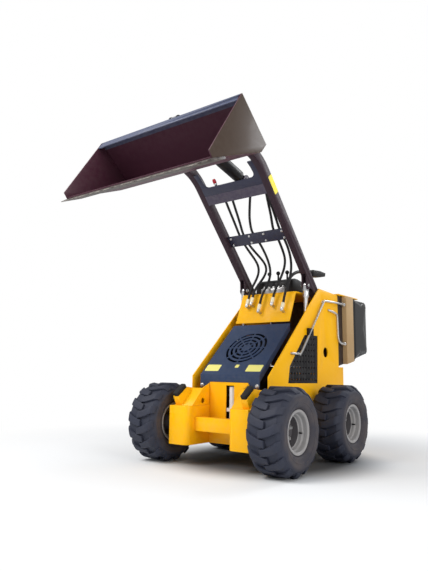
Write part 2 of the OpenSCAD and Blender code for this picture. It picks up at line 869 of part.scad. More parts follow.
module bucket_shell() {
  half = bucket_y - bucket_t;
  wall = heading(wall_angle - 90) * bucket_t;
  lip = 45;
  color(dark_blue) place_bucket() {
    side_plate(-half, 2 * half) polygon([
      bucket_top, bucket_back, heel, floor_end, floor_end + [0, bucket_t],
      heel + [4, bucket_t], bucket_back + [bucket_t + 1, 3], bucket_top + wall
    ]);
    side_plate(-half, 2 * half) polygon([
      bucket_top + wall, bucket_top + wall + lip * heading(-35),
      bucket_top + wall + lip * heading(-35) - [4, 7], bucket_top + wall - heading(wall_angle) * 12
    ]);
  }
}

module bucket_sides() {
  color(dark_blue) place_bucket() both_sides() side_plate(bucket_y - bucket_t, bucket_t)
    polygon([heel, floor_end, side_nose, bucket_top, bucket_back]);
}

module cutting_edge() {
  edge_t = 12;
  color(steel) place_bucket() side_plate(-bucket_y, bucket_w) polygon([
    floor_end - [100, 0], floor_end - [100, edge_t], edge_tip - [0, edge_t], edge_tip - [0, edge_t - 3],
    floor_end
  ]);
}

module coupler() {
  wall = heading(wall_angle + 90);
  rise = heading(wall_angle);
  base = bucket_back + 30 * rise;
  head = bucket_top - 30 * rise;
  t = 10;
  lever = tilt_lever * heading(tilt_rest + bucket_tip);
  color(black) place_bucket() difference() {
    union() {
      side_plate(-arm_in + pass_gap, 2 * (arm_in - pass_gap))
        polygon([base, head, head + t * wall, base + t * wall]);
      both_sides() side_plate(ear_in, ear_w) union() {
        polygon([
          base + t * wall + 60 * rise, head + t * wall, 30 * heading(wall_angle), 30 * heading(200)
        ]);
        circle(r = 32);
      }
      both_sides() side_plate(lug_gap, lug_t) union() {
        polygon([base + t * wall + 120 * rise, head + t * wall, lever + 18 * rise, lever - 18 * rise]);
        translate(lever) circle(r = 24);
      }
    }
    cross_bar([0, 0], -arm_in, 2 * arm_in, hinge_pin_d);
  }
}

module lift_barrel() {
  color(black) along_lift() difference() {
    union() {
      bar_x(0, lift_barrel_len, lift_barrel_d);
      bar_y(0, lift_eye_w, 2 * lift_eye_r);
    }
    for (y = [-1, 1]) translate([-30, y * (lift_eye_w / 2 + 25) - 25, -30]) cube([56, 50, 60]);
    bar_y(0, 60, lift_pin_d + 2 * pin_gap);
    bar_x(34, lift_barrel_len, lift_rod_d + 2 * pin_gap);
  }
}

module lift_rod() {
  shank = lift_ear_r + 12;
  collar = 42;
  color(steel) along_lift() {
    bar_x(lift_len - lift_rod_len, lift_rod_len - shank, lift_rod_d);
    bar_x(lift_len - shank - collar, collar, lift_barrel_d - 6);
    translate([lift_len - shank, -lift_eye_w / 2, -lift_eye_r])
      cube([shank, lift_eye_w, 2 * lift_eye_r]);
    bar_y(lift_len, lift_eye_w, 2 * lift_eye_r);
  }
}

module at_arm(side) {
  translate([0, side * arm_y, 0]) children();
}

module lift_barrel_l() { at_arm(1) lift_barrel(); }
module lift_barrel_r() { at_arm(-1) lift_barrel(); }
module lift_rod_l() { at_arm(1) lift_rod(); }
module lift_rod_r() { at_arm(-1) lift_rod(); }

module tilt_barrel() {
  color(black) along_tilt() difference() {
    union() {
      bar_x(tilt_shank, tilt_barrel_len - tilt_shank, tilt_barrel_d);
      bar_y(0, tilt_eye_w, 2 * tilt_eye_r + 8);
      translate([0, -tilt_eye_w / 2, -tilt_eye_r]) cube([tilt_shank, tilt_eye_w, 2 * tilt_eye_r]);
    }
    bar_y(0, 2 * tilt_eye_w, tilt_pin_d + 2 * pin_gap);
    bar_x(tilt_shank + 16, tilt_barrel_len, tilt_rod_d + 2 * pin_gap);
  }
}

module tilt_rod() {
  color(steel) along_tilt() {
    bar_x(tilt_len - tilt_rod_len, tilt_rod_len - tilt_eye_r + 4, tilt_rod_d);
    bar_y(tilt_len, tilt_eye_w, 2 * tilt_eye_r);
  }
}

function at_y(p, y) = [p[0], y, p[1]];
hose_up = plate_t + hose_r + soft_gap;
meet = plate_foot + plate_h / 2;
module hoses() {
  rise = heading(bulkhead_lean);
  out = -across(bulkhead_lean);
  color(rubber) for (i = [0 : len(port_y) - 1]) {
    k = hose_slack[i];
    a = bulkhead_foot + port_row[i] * (bulkhead_top - bulkhead_foot) + elbow_out * out + crimp_len * rise;
    step = (plate_y[i] - port_y[i]) / 6;
    bent_bar(concat([at_y(a, port_y[i])], smooth([
      at_y(a + 12 * rise, port_y[i]),
      at_y(a + [-0.12 * k, 62], port_y[i] + step),
      at_y(a + [-0.52 * k, 122], port_y[i] + 2 * step),
      at_y(a + [-0.95 * k, 196], port_y[i] + 3 * step),
      at_y(a + [-0.93 * k, 262], port_y[i] + 4 * step),
      at_y(along(plate_foot - 110, hose_up + 0.2 * k), port_y[i] + 5 * step),
      at_y(along(plate_foot - 20, hose_up + 0.07 * k), plate_y[i]),
      at_y(along(plate_foot + 15, hose_up + 3), plate_y[i]),
      at_y(along(meet - 6, hose_up), plate_y[i])
    ], 3), [at_y(along(meet - 1, hose_up), plate_y[i])]), hose_r);
  }
}

// The same hoses, from the cross plate to the cross tube
module boom_hoses() {
  span = tube_foot - meet;
  color(rubber) for (i = [0 : len(plate_y) - 1]) {
    sway = i == 2 ? -24 : 0;
    step = (tube_y[i] - plate_y[i]) / 4;
    end_up = hose_up + hose_lift[i];
    bent_bar(concat([at_y(along(meet, hose_up), plate_y[i])], smooth([
      at_y(along(meet + 8, hose_up), plate_y[i]),
      at_y(along(meet + plate_h / 2 + 10, hose_up), plate_y[i] + sway / 2),
      at_y(along(meet + 0.45 * span, (hose_up + end_up) / 2), plate_y[i] + 1.6 * step + sway),
      at_y(along(meet + 0.75 * span, end_up), plate_y[i] + 3 * step + sway / 2),
      at_y(along(tube_foot - 11, end_up), tube_y[i])
    ], 3), [at_y(along(tube_foot - soft_gap, end_up), tube_y[i])]), hose_r);
  }
}

chain_cases();
belly();
front_plate();
cross_beam();
gussets();
bumpers();
side_towers();
vents();
hood();
bulkhead();
deck();
rear_panel();
rear_box();
pad_backing();
operator_pad();
console();
valve_block();
levers();
grab_bar();
pipes();
pipe_fittings();
pipe_clamps();
engine();
axles();
filter();
cylinder_mounts();
hose_fittings();
pivot_pins();
color(rubber) place_wheel(axle_x, 1) tyre();  // tyre_fl
color(rubber) place_wheel(axle_x, -1) tyre();  // tyre_fr
color(rubber) place_wheel(-axle_x, 1) tyre();  // tyre_rl
color(rubber) place_wheel(-axle_x, -1) tyre();  // tyre_rr
color(steel) place_wheel(axle_x, 1) rim();  // rim_fl
color(steel) place_wheel(axle_x, -1) rim();  // rim_fr
color(steel) place_wheel(-axle_x, 1) rim();  // rim_rl
color(steel) place_wheel(-axle_x, -1) rim();  // rim_rr
arm_left();
arm_right();
cross_plate();
cross_tube();
window_plate();
boom_pins();
bucket_shell();
bucket_sides();
cutting_edge();
coupler();
lift_barrel_l();
lift_barrel_r();
lift_rod_l();
lift_rod_r();
tilt_barrel();
tilt_rod();
boom_hoses();
hoses();
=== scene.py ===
import math
import bpy
from mathutils import Matrix, Vector


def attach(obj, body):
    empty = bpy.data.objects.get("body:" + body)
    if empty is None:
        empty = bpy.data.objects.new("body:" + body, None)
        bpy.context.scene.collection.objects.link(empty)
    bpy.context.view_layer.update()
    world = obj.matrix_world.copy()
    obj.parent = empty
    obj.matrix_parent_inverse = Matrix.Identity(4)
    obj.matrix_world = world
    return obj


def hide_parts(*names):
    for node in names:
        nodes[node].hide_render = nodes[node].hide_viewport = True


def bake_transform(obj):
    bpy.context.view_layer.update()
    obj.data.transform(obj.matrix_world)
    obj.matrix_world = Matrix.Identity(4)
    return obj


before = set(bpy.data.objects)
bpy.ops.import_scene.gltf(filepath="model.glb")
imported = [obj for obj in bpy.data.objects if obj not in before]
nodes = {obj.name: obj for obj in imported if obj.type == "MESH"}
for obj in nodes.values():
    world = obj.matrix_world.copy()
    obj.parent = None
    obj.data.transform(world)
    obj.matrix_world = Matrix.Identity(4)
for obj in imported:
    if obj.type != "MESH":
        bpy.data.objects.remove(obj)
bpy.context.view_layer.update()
scene = bpy.context.scene
scene.view_settings.view_transform = "Standard"


# camera, fitted to the wheels and the frame's symmetric points
cameraFit = {
    "place": (2.8767, 1.9196, 0.5342),
    "yaw": 37.779,
    "pitch": 8.80,
    "roll": 0.79,
    "focalPixels": 549.04,
    "imageHeight": 571,
    "sensor": 36.0,
}


def addCamera(fit):
    yaw, pitch, roll = (math.radians(fit[k]) for k in ("yaw", "pitch", "roll"))
    ahead = Vector((-math.cos(yaw), -math.sin(yaw), 0))
    side = Vector((-math.sin(yaw), math.cos(yaw), 0))
    up = Vector((0, 0, 1))
    forward = math.cos(pitch) * ahead + math.sin(pitch) * up
    lifted = math.cos(pitch) * up - math.sin(pitch) * ahead
    right = math.cos(roll) * side + math.sin(roll) * lifted
    top = math.cos(roll) * lifted - math.sin(roll) * side
    data = bpy.data.cameras.new("photoCamera")
    data.sensor_fit = "AUTO"
    data.sensor_width = fit["sensor"]
    data.lens = fit["focalPixels"] * fit["sensor"] / fit["imageHeight"]
    cam = bpy.data.objects.new("photoCamera", data)
    scene.collection.objects.link(cam)
    turn = Matrix((right, top, -forward)).transposed().to_4x4()
    cam.matrix_world = Matrix.Translation(fit["place"]) @ turn
    scene.camera = cam


addCamera(cameraFit)
print("camera set")


# small helpers for working by hand on one piece at a time
mergeGap = 0.00002
smoothFrom = 38


def deselectAll():
    if bpy.context.object and bpy.context.object.mode != "OBJECT":
        bpy.ops.object.mode_set(mode="OBJECT")
    bpy.ops.object.select_all(action="DESELECT")


def makeActive(piece):
    deselectAll()
    piece.select_set(True)
    bpy.context.view_layer.objects.active = piece


def editAll(piece):
    makeActive(piece)
    bpy.ops.object.mode_set(mode="EDIT")
    bpy.ops.mesh.select_all(action="SELECT")


def objectMode():
    bpy.ops.object.mode_set(mode="OBJECT")


def applyPlace(piece):
    makeActive(piece)
    bpy.ops.object.transform_apply(location=True, rotation=True, scale=True)


def applyModifiers(piece):
    makeActive(piece)
    for name in [m.name for m in piece.modifiers]:
        bpy.ops.object.modifier_apply(modifier=name)


def smoothByAngle(piece, degrees=smoothFrom):
    makeActive(piece)
    bpy.ops.object.shade_smooth_by_angle(angle=math.radians(degrees))


def roundEdges(piece, width, segments=2, limit=32):
    bevel = piece.modifiers.new("edges", "BEVEL")
    bevel.width = width
    bevel.segments = segments
    bevel.limit_method = "ANGLE"
    bevel.angle_limit = math.radians(limit)
    bevel.harden_normals = False
    applyModifiers(piece)


def mergeAndTurnOut(piece):
    editAll(piece)
    bpy.ops.mesh.remove_doubles(threshold=mergeGap)
    bpy.ops.mesh.normals_make_consistent(inside=False)
    objectMode()


def joinPieces(pieces, name):
    deselectAll()
    for p in pieces:
        p.select_set(True)
    bpy.context.view_layer.objects.active = pieces[0]
    if len(pieces) > 1:
        bpy.ops.object.join()
    pieces[0].name = name
    pieces[0].data.name = name
    return pieces[0]


def copyMoved(piece, name, matrix):
    twin = bpy.data.objects.new(name, piece.data.copy())
    scene.collection.objects.link(twin)
    twin.data.transform(matrix)
    if matrix.determinant() < 0:
        twin.data.flip_normals()
    return twin


def drawLine(name, points):
    deselectAll()
    bpy.ops.mesh.primitive_plane_add(size=0.01, location=(0, 0, 0))
    piece = bpy.context.object
    piece.name = piece.data.name = name
    bpy.ops.object.mode_set(mode="EDIT")
    bpy.ops.mesh.select_all(action="SELECT")
    bpy.ops.mesh.merge(type="CENTER")
    bpy.ops.transform.translate(value=points[0])
    for a, b in zip(points, points[1:]):
        bpy.ops.mesh.extrude_region_move(
            TRANSFORM_OT_translate={"value": tuple(q - p for p, q in zip(a, b))}
        )
    objectMode()
    return piece


def spinLine(piece, steps, axis=(0, 1, 0)):
    editAll(piece)
    bpy.ops.mesh.spin(steps=steps, angle=2 * math.pi, center=(0, 0, 0), axis=axis)
    objectMode()
    mergeAndTurnOut(piece)


def coverWith(piece, look):
    piece.data.materials.clear()
    piece.data.materials.append(finish[look])


def finishPiece(piece, body, look, replaced=()):
    coverWith(piece, look)
    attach(piece, body)
    if replaced:
        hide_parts(*replaced)
    return piece


def curveThrough(points, steps):
    guide = [Vector(p) for p in points]
    made = []
    for i in range(len(guide) - 1):
        a, b, c = guide[max(i - 1, 0)], guide[i], guide[i + 1]
        d = guide[min(i + 2, len(guide) - 1)]
        for j in range(steps):
            t = j / steps
            bend = (2 * a - 5 * b + 4 * c - d) * t ** 2 + (3 * b - a - 3 * c + d) * t ** 3
            made.append(0.5 * (2 * b + (c - a) * t + bend))
    return made + [guide[-1]]


def tubeAlong(name, points, radius, rounds=5):
    data = bpy.data.curves.new(name, "CURVE")
    data.dimensions = "3D"
    line = data.splines.new("POLY")
    line.points.add(len(points) - 1)
    for spot, p in zip(line.points, points):
        spot.co = (*p, 1)
    data.bevel_depth = radius
    data.bevel_resolution = rounds
    data.use_fill_caps = True
    tube = bpy.data.objects.new(name, data)
    scene.collection.objects.link(tube)
    makeActive(tube)
    bpy.ops.object.convert(target="MESH")
    tube = bpy.context.object
    tube.name = tube.data.name = name
    mergeAndTurnOut(tube)
    smoothByAngle(tube, 50)
    return tube


def turnTo(direction, place):
    turn = Vector(direction).to_track_quat("Z", "Y").to_matrix().to_4x4()
    return Matrix.Translation(place) @ turn


# shader groups shared by several finishes
def newGroup(name, inputs, outputs):
    group = bpy.data.node_groups.new(name, "ShaderNodeTree")
    kinds = {"color": "NodeSocketColor", "float": "NodeSocketFloat"}
    for label, kind, value in inputs:
        sock = group.interface.new_socket(label, in_out="INPUT", socket_type=kinds[kind])
        sock.default_value = value
    for label, kind in outputs:
        group.interface.new_socket(label, in_out="OUTPUT", socket_type=kinds[kind])
    start = group.nodes.new("NodeGroupInput")
    end = group.nodes.new("NodeGroupOutput")
    return group, start, end


def addNode(tree, kind, **values):
    node = tree.nodes.new(kind)
    for key, value in values.items():
        setattr(node, key, value)
    return node


def addMath(tree, operation, a, b=None, clamp=False):
    node = addNode(tree, "ShaderNodeMath", operation=operation, use_clamp=clamp)
    for i, v in enumerate((a, b)):
        if v is None:
            continue
        if isinstance(v, (int, float)):
            node.inputs[i].default_value = v
        else:
            tree.links.new(v, node.inputs[i])
    return node.outputs[0]


def addRange(tree, value, low, high, toLow=0.0, toHigh=1.0, smooth=False):
    node = addNode(tree, "ShaderNodeMapRange", clamp=True)
    node.interpolation_type = "SMOOTHSTEP" if smooth else "LINEAR"
    tree.links.new(value, node.inputs["Value"])
    node.inputs["From Min"].default_value = low
    node.inputs["From Max"].default_value = high
    node.inputs["To Min"].default_value = toLow
    node.inputs["To Max"].default_value = toHigh
    return node.outputs["Result"]


def addMix(tree, factor, a, b, blend="MIX"):
    node = addNode(tree, "ShaderNodeMix", data_type="RGBA", blend_type=blend)
    for sock, v in zip((node.inputs[0], node.inputs[6], node.inputs[7]), (factor, a, b)):
        if isinstance(v, (int, float, tuple)):
            sock.default_value = v
        else:
            tree.links.new(v, sock)
    return node.outputs[2]


def addNoise(tree, vector, scale, detail=3.0, roughness=0.55):
    node = addNode(tree, "ShaderNodeTexNoise")
    tree.links.new(vector, node.inputs["Vector"])
    if isinstance(scale, (int, float)):
        node.inputs["Scale"].default_value = scale
    else:
        tree.links.new(scale, node.inputs["Scale"])
    node.inputs["Detail"].default_value = detail
    node.inputs["Roughness"].default_value = roughness
    return node.outputs["Fac"]


def glossBetween(tree, start, noise):
    node = addNode(tree, "ShaderNodeMapRange", clamp=True)
    tree.links.new(noise, node.inputs["Value"])
    node.inputs["From Min"].default_value = 0.3
    node.inputs["From Max"].default_value = 0.7
    tree.links.new(start.outputs["Gloss Low"], node.inputs["To Min"])
    tree.links.new(start.outputs["Gloss High"], node.inputs["To Max"])
    return node.outputs["Result"]


def buildCoatGroup():
    group, start, end = newGroup(
        "sprayedCoat",
        [("Color", "color", (1, 1, 1, 1)), ("Shade", "color", (0.5, 0.5, 0.5, 1)),
         ("Worn", "color", (0.6, 0.6, 0.6, 1)), ("Dust", "color", (0.4, 0.35, 0.3, 1)),
         ("Mottle", "float", 0.3), ("Edge Wear And Highlight", "float", 0.3), ("Dust Amount", "float", 0.2),
         ("Gloss Low", "float", 0.3), ("Gloss High", "float", 0.45)],
        [("Color", "color"), ("Roughness", "float"), ("Height", "float")],
    )
    tree = group
    at = addNode(tree, "ShaderNodeTexCoord").outputs["Object"]
    broad = addNoise(tree, at, 2.6, 3.0)
    fine = addNoise(tree, at, 38.0, 5.0, 0.6)
    peel = addNoise(tree, at, 620.0, 1.5)
    split = addNode(tree, "ShaderNodeSeparateXYZ")
    tree.links.new(at, split.inputs[0])
    # broad, soft changes of tone from spraying
    tone = addMath(tree, "MULTIPLY", addRange(tree, broad, 0.3, 0.7), start.outputs["Mottle"])
    coat = addMix(tree, tone, start.outputs["Color"], start.outputs["Shade"])
    # bare corners where the paint is worn through, partly also a painted highlight that lightens the convex edges
    sharp = addNode(tree, "ShaderNodeNewGeometry").outputs["Pointiness"]
    corner = addRange(tree, sharp, 0.53, 0.62)
    wornAndLitEdge = addMath(tree, "MULTIPLY", corner, addRange(tree, fine, 0.35, 0.62))
    wearAndHighlight = addMath(tree, "MULTIPLY", wornAndLitEdge, start.outputs["Edge Wear And Highlight"], True)
    coat = addMix(tree, wearAndHighlight, coat, start.outputs["Worn"])
    # dust that gathers low down and in broad patches
    low = addRange(tree, split.outputs["Z"], 0.62, 0.08, smooth=True)
    patch = addMath(tree, "MULTIPLY", low, addRange(tree, fine, 0.4, 0.75))
    dusty = addMath(tree, "MULTIPLY", patch, start.outputs["Dust Amount"], True)
    coat = addMix(tree, dusty, coat, start.outputs["Dust"])
    rougher = addMath(tree, "ADD", glossBetween(tree, start, fine), addMath(tree, "MULTIPLY", dusty, 0.35), True)
    tree.links.new(coat, end.inputs["Color"])
    tree.links.new(rougher, end.inputs["Roughness"])
    tree.links.new(addMath(tree, "ADD", peel, addMath(tree, "MULTIPLY", fine, 0.6)), end.inputs["Height"])
    return group


def buildRubberGroup():
    group, start, end = newGroup(
        "mouldedRubber",
        [("Color", "color", (0.03, 0.03, 0.035, 1)), ("Dust", "color", (0.2, 0.17, 0.14, 1)),
         ("Dust Amount", "float", 0.4), ("Speck Scale", "float", 240.0)],
        [("Color", "color"), ("Roughness", "float"), ("Height", "float")],
    )
    tree = group
    at = addNode(tree, "ShaderNodeTexCoord").outputs["Object"]
    cloud = addNoise(tree, at, 9.0, 4.0)
    speck = addNoise(tree, at, start.outputs["Speck Scale"], 3.0)
    mask = addMath(tree, "MULTIPLY", addRange(tree, cloud, 0.38, 0.72), start.outputs["Dust Amount"])
    mask = addMath(tree, "MULTIPLY", mask, addRange(tree, speck, 0.25, 0.7, 0.45, 1.0), True)
    tree.links.new(addMix(tree, mask, start.outputs["Color"], start.outputs["Dust"]), end.inputs["Color"])
    tree.links.new(addRange(tree, speck, 0.2, 0.8, 0.56, 0.82), end.inputs["Roughness"])
    tree.links.new(addMath(tree, "ADD", speck, addMath(tree, "MULTIPLY", cloud, 0.5)), end.inputs["Height"])
    return group


def buildTyreGroup():
    group, start, end = newGroup(
        "dustyTyre",
        [("Color", "color", (0.03, 0.03, 0.035, 1)), ("Dust", "color", (0.2, 0.17, 0.14, 1)),
         ("Dust Amount", "float", 0.5), ("Axle X", "float", 0.335), ("Axle Z", "float", 0.2285)],
        [("Color", "color"), ("Roughness", "float"), ("Height", "float")],
    )
    tree = group
    at = addNode(tree, "ShaderNodeTexCoord").outputs["Object"]
    split = addNode(tree, "ShaderNodeSeparateXYZ")
    tree.links.new(at, split.inputs[0])
    # distance from the nearer axle
    fromX = addMath(tree, "SUBTRACT", addMath(tree, "ABSOLUTE", split.outputs["X"]), start.outputs["Axle X"])
    fromZ = addMath(tree, "SUBTRACT", split.outputs["Z"], start.outputs["Axle Z"])
    squareX, squareZ = (addMath(tree, "MULTIPLY", d, d) for d in (fromX, fromZ))
    radius = addMath(tree, "SQRT", addMath(tree, "ADD", squareX, squareZ))
    cloud = addNoise(tree, at, 14.0, 4.0)
    speck = addNoise(tree, at, 260.0, 3.0)
    wall = addRange(tree, radius, 0.200, 0.165, 0.12, 1.0, True)
    mask = addMath(tree, "MULTIPLY", addRange(tree, cloud, 0.32, 0.66, 0.25, 1.0), start.outputs["Dust Amount"])
    mask = addMath(tree, "MULTIPLY", mask, wall)
    mask = addMath(tree, "MULTIPLY", mask, addRange(tree, speck, 0.25, 0.7, 0.5, 1.0), True)
    # moulded rings on the sidewall
    rings = addMath(tree, "SINE", addMath(tree, "MULTIPLY", radius, 900.0))
    rings = addMath(tree, "MULTIPLY", rings, addRange(tree, radius, 0.19, 0.17, 0.0, 0.35))
    tree.links.new(addMix(tree, mask, start.outputs["Color"], start.outputs["Dust"]), end.inputs["Color"])
    tree.links.new(addRange(tree, speck, 0.2, 0.8, 0.5, 0.78), end.inputs["Roughness"])
    tree.links.new(addMath(tree, "ADD", speck, rings), end.inputs["Height"])
    return group


def buildMetalGroup():
    group, start, end = newGroup(
        "turnedMetal",
        [("Color", "color", (0.6, 0.6, 0.6, 1)), ("Stain", "color", (0.25, 0.24, 0.23, 1)),
         ("Stain Amount", "float", 0.3), ("Gloss Low", "float", 0.22), ("Gloss High", "float", 0.4)],
        [("Color", "color"), ("Roughness", "float"), ("Height", "float")],
    )
    tree = group
    at = addNode(tree, "ShaderNodeTexCoord").outputs["Object"]
    cloud = addNoise(tree, at, 16.0, 5.0, 0.62)
    fine = addNoise(tree, at, 420.0, 2.0)
    mask = addMath(tree, "MULTIPLY", addRange(tree, cloud, 0.42, 0.7), start.outputs["Stain Amount"], True)
    tree.links.new(addMix(tree, mask, start.outputs["Color"], start.outputs["Stain"]), end.inputs["Color"])
    tree.links.new(glossBetween(tree, start, cloud), end.inputs["Roughness"])
    tree.links.new(fine, end.inputs["Height"])
    return group


coatGroup = buildCoatGroup()
rubberGroup = buildRubberGroup()
tyreGroup = buildTyreGroup()
metalGroup = buildMetalGroup()


def newFinish(name, group, values, bump, distance, metallic=0.0, coat=0.0, coatRough=0.1, specular=0.5):
    mat = bpy.data.materials.new(name)
    mat.use_nodes = True
    tree = mat.node_tree
    shader = tree.nodes["Principled BSDF"]
    made = addNode(tree, "ShaderNodeGroup", node_tree=group)
    for key, value in values.items():
        made.inputs[key].default_value = value
    tree.links.new(made.outputs["Color"], shader.inputs["Base Color"])
    tree.links.new(made.outputs["Roughness"], shader.inputs["Roughness"])
    relief = addNode(tree, "ShaderNodeBump")
    relief.inputs["Strength"].default_value = bump
    relief.inputs["Distance"].default_value = distance
    tree.links.new(made.outputs["Height"], relief.inputs["Height"])
    tree.links.new(relief.outputs["Normal"], shader.inputs["Normal"])
    shader.inputs["Metallic"].default_value = metallic
    shader.inputs["Coat Weight"].default_value = coat
    shader.inputs["Coat Roughness"].default_value = coatRough
    shader.inputs["Specular IOR Level"].default_value = specular
    mat.diffuse_color = values["Color"]
    return mat


def fromSrgb(r, g, b):
    parts = (r / 255, g / 255, b / 255)
    return tuple(c / 12.92 if c <= 0.04045 else ((c + 0.055) / 1.055) ** 2.4 for c in parts) + (1,)


coatColors = {
    "yellow": (255, 190, 1), "yellowShade": (252, 172, 1),
    "hood": (36, 57, 92), "hoodShade": (30, 49, 80),
    "arm": (60, 46, 54), "armShade": (52, 39, 46),
    "plate": (46, 47, 68), "plateShade": (38, 39, 58),
    "tube": (66, 58, 78), "tubeShade": (56, 48, 66),
    "bucket": (82, 44, 60), "bucketShade": (66, 33, 48),
    # painted sheen: the lighter blue on the outward faces of the bucket's lip
    "lip": (78, 86, 113), "lipSheenMottle": (66, 73, 97),
    "bucketSide": (72, 59, 51), "bucketSideShade": (67, 54, 47),
    "edge": (52, 42, 42), "edgeShade": (38, 29, 31),
    "black": (22, 20, 23), "blackShade": (16, 15, 17),
    # painted shade deep in the rim's well, also on the hub caps
    "rim": (158, 157, 158), "rimShade": (136, 134, 135),
    "disc": (92, 90, 94), "discInShadeMottle": (74, 71, 72),
    "tan": (190, 160, 118), "tanShade": (170, 138, 96),
    # the rear box's own dark black with a brown tint that is painted bounce light from the yellow paint
    "paintedBounceBrown": (46, 32, 28), "paintedBounceBrownMottle": (34, 23, 21),
    "decal": (250, 232, 40), "decalPale": (246, 238, 140),
    "cream": (236, 226, 196), "red": (170, 24, 40), "paper": (226, 226, 226),
    # bare steel, also used as the painted highlight on convex edges
    "dustLow": (150, 128, 100), "bare": (196, 190, 180),
}
tint = {k: fromSrgb(*v) for k, v in coatColors.items()}


def paintFinish(name, base, shade, wearAndHighlight=0.1, dust=0.0, gloss=(0.34, 0.48), mottle=0.3, coat=0.06, specular=0.3):
    values = {"Color": tint[base], "Shade": tint[shade], "Worn": tint["bare"], "Dust": tint["dustLow"],
              "Mottle": mottle, "Edge Wear And Highlight": wearAndHighlight, "Dust Amount": dust,
              "Gloss Low": gloss[0], "Gloss High": gloss[1]}
    return newFinish(name, coatGroup, values, 0.06, 0.0006, coat=coat, coatRough=0.16, specular=specular)


def rubberFinish(name, color, dust, amount, speck=240.0, bump=0.22):
    values = {"Color": fromSrgb(*color), "Dust": fromSrgb(*dust), "Dust Amount": amount, "Speck Scale": speck}
    return newFinish(name, rubberGroup, values, bump, 0.001, specular=0.3)


def metalFinish(name, color, stain, amount, gloss, bump=0.05, metallic=0.85):
    values = {"Color": fromSrgb(*color), "Stain": fromSrgb(*stain), "Stain Amount": amount,
              "Gloss Low": gloss[0], "Gloss High": gloss[1]}
    return newFinish(name, metalGroup, values, bump, 0.0005, metallic=metallic)


finish = {
    "yellowPaint": paintFinish("yellowPaint", "yellow", "yellowShade", wearAndHighlight=0.1, dust=0.05, coat=0.08, specular=0.14),
    "hoodPaint": paintFinish("hoodPaint", "hood", "hoodShade", wearAndHighlight=0.03, mottle=0.12, specular=0.4),
    "armPaint": paintFinish("armPaint", "arm", "armShade", wearAndHighlight=0.0, gloss=(0.5, 0.62), coat=0.0, specular=0.14),
    "platePaint": paintFinish("platePaint", "plate", "plateShade", wearAndHighlight=0.05),
    "tubePaint": paintFinish("tubePaint", "tube", "tubeShade", wearAndHighlight=0.05),
    "bucketPaint": paintFinish("bucketPaint", "bucket", "bucketShade", wearAndHighlight=0.06, gloss=(0.36, 0.52)),
    "lipPaintedSheen": paintFinish("lipPaintedSheen", "lip", "lipSheenMottle", wearAndHighlight=0.2, gloss=(0.3, 0.5)),
    "sidePaint": paintFinish("sidePaint", "bucketSide", "bucketSideShade", wearAndHighlight=0.04, gloss=(0.5, 0.62), mottle=0.2,
                             specular=0.16),
    "edgePaint": paintFinish("edgePaint", "edge", "edgeShade", wearAndHighlight=0.6, gloss=(0.4, 0.6), mottle=0.6),
    "discPaintedShade": paintFinish("discPaintedShade", "disc", "discInShadeMottle", wearAndHighlight=0.2, gloss=(0.4, 0.6), mottle=0.6),
    "blackPaint": paintFinish("blackPaint", "black", "blackShade", wearAndHighlight=0.04, gloss=(0.42, 0.56), specular=0.22),
    "rimPaint": paintFinish("rimPaint", "rim", "rimShade", wearAndHighlight=0.3, gloss=(0.28, 0.46), dust=0.08),
    "tanBoard": paintFinish("tanBoard", "tan", "tanShade", wearAndHighlight=0.0, gloss=(0.5, 0.7), mottle=0.7, coat=0.0),
    "boxPaintedBounce": paintFinish("boxPaintedBounce", "paintedBounceBrown", "paintedBounceBrownMottle", wearAndHighlight=0.1, gloss=(0.45, 0.65), coat=0.0),
    "yellowDecal": paintFinish("yellowDecal", "decal", "decal", wearAndHighlight=0.0, mottle=0.1),
    "paleDecal": paintFinish("paleDecal", "decalPale", "decal", wearAndHighlight=0.0, mottle=0.15),
    "creamSleeve": paintFinish("creamSleeve", "cream", "cream", wearAndHighlight=0.0),
    "redCap": paintFinish("redCap", "red", "red", wearAndHighlight=0.0),
    "whiteCan": paintFinish("whiteCan", "paper", "paper", wearAndHighlight=0.05),
    "tyreRubber": newFinish("tyreRubber", tyreGroup, {
        "Color": fromSrgb(41, 46, 62), "Dust": fromSrgb(108, 95, 86), "Dust Amount": 0.5}, 0.25, 0.0012, specular=0.35),
    "hoseRubber": rubberFinish("hoseRubber", (30, 30, 33), (66, 60, 56), 0.25, speck=420.0),
    "bumperRubber": rubberFinish("bumperRubber", (30, 30, 32), (74, 68, 62), 0.25),
    "padVinyl": newFinish("padVinyl", rubberGroup, {
        "Color": fromSrgb(7, 7, 9), "Dust": fromSrgb(26, 26, 28), "Dust Amount": 0.08,
        "Speck Scale": 520.0}, 0.12, 0.0006, coat=0.6, coatRough=0.14, specular=0.35),
    "zincSteel": metalFinish("zincSteel", (214, 214, 214), (150, 146, 140), 0.35, (0.22, 0.4)),
    "polishedRod": metalFinish("polishedRod", (232, 232, 234), (196, 194, 192), 0.2, (0.12, 0.2), 0.02),
    "castSteel": metalFinish("castSteel", (120, 118, 116), (70, 66, 62), 0.6, (0.4, 0.6), 0.2, 0.6),
}
print("finishes made:", len(finish))


# floor and light
studio = {
    "floorHalf": 30.0,
    "floorRough": 0.75,
    "floorShine": 0.15,
    "lampAim": (0, 0, 0.8),
    "fadeFrom": 1.0,
    "fadeTo": 2.6,
    "floorColor": (0.81, 0.83, 0.855, 1),
    # painted shadow under the machine: its dark colour, its middle and the distances over which it fades out
    "paintedShadowColor": (0.10, 0.11, 0.125, 1),
    "paintedShadowMiddle": (-0.12, 0.04, 0),
    "paintedShadowFrom": 0.4,
    "paintedShadowTo": 0.8,
    "worldLevel": 0.5,
    "mirrorLevel": 0.42,
    "lamps": [
        ("keyLamp", (3.9, -1.7, 4.6), 3.0, 262, (1.0, 0.98, 0.95)),
        ("sideLamp", (1.6, 4.6, 2.4), 3.0, 88, (1.0, 0.97, 0.93)),
        ("rearLamp", (-4.2, 1.2, 3.8), 2.4, 90, (0.95, 0.97, 1.0)),
    ],
}


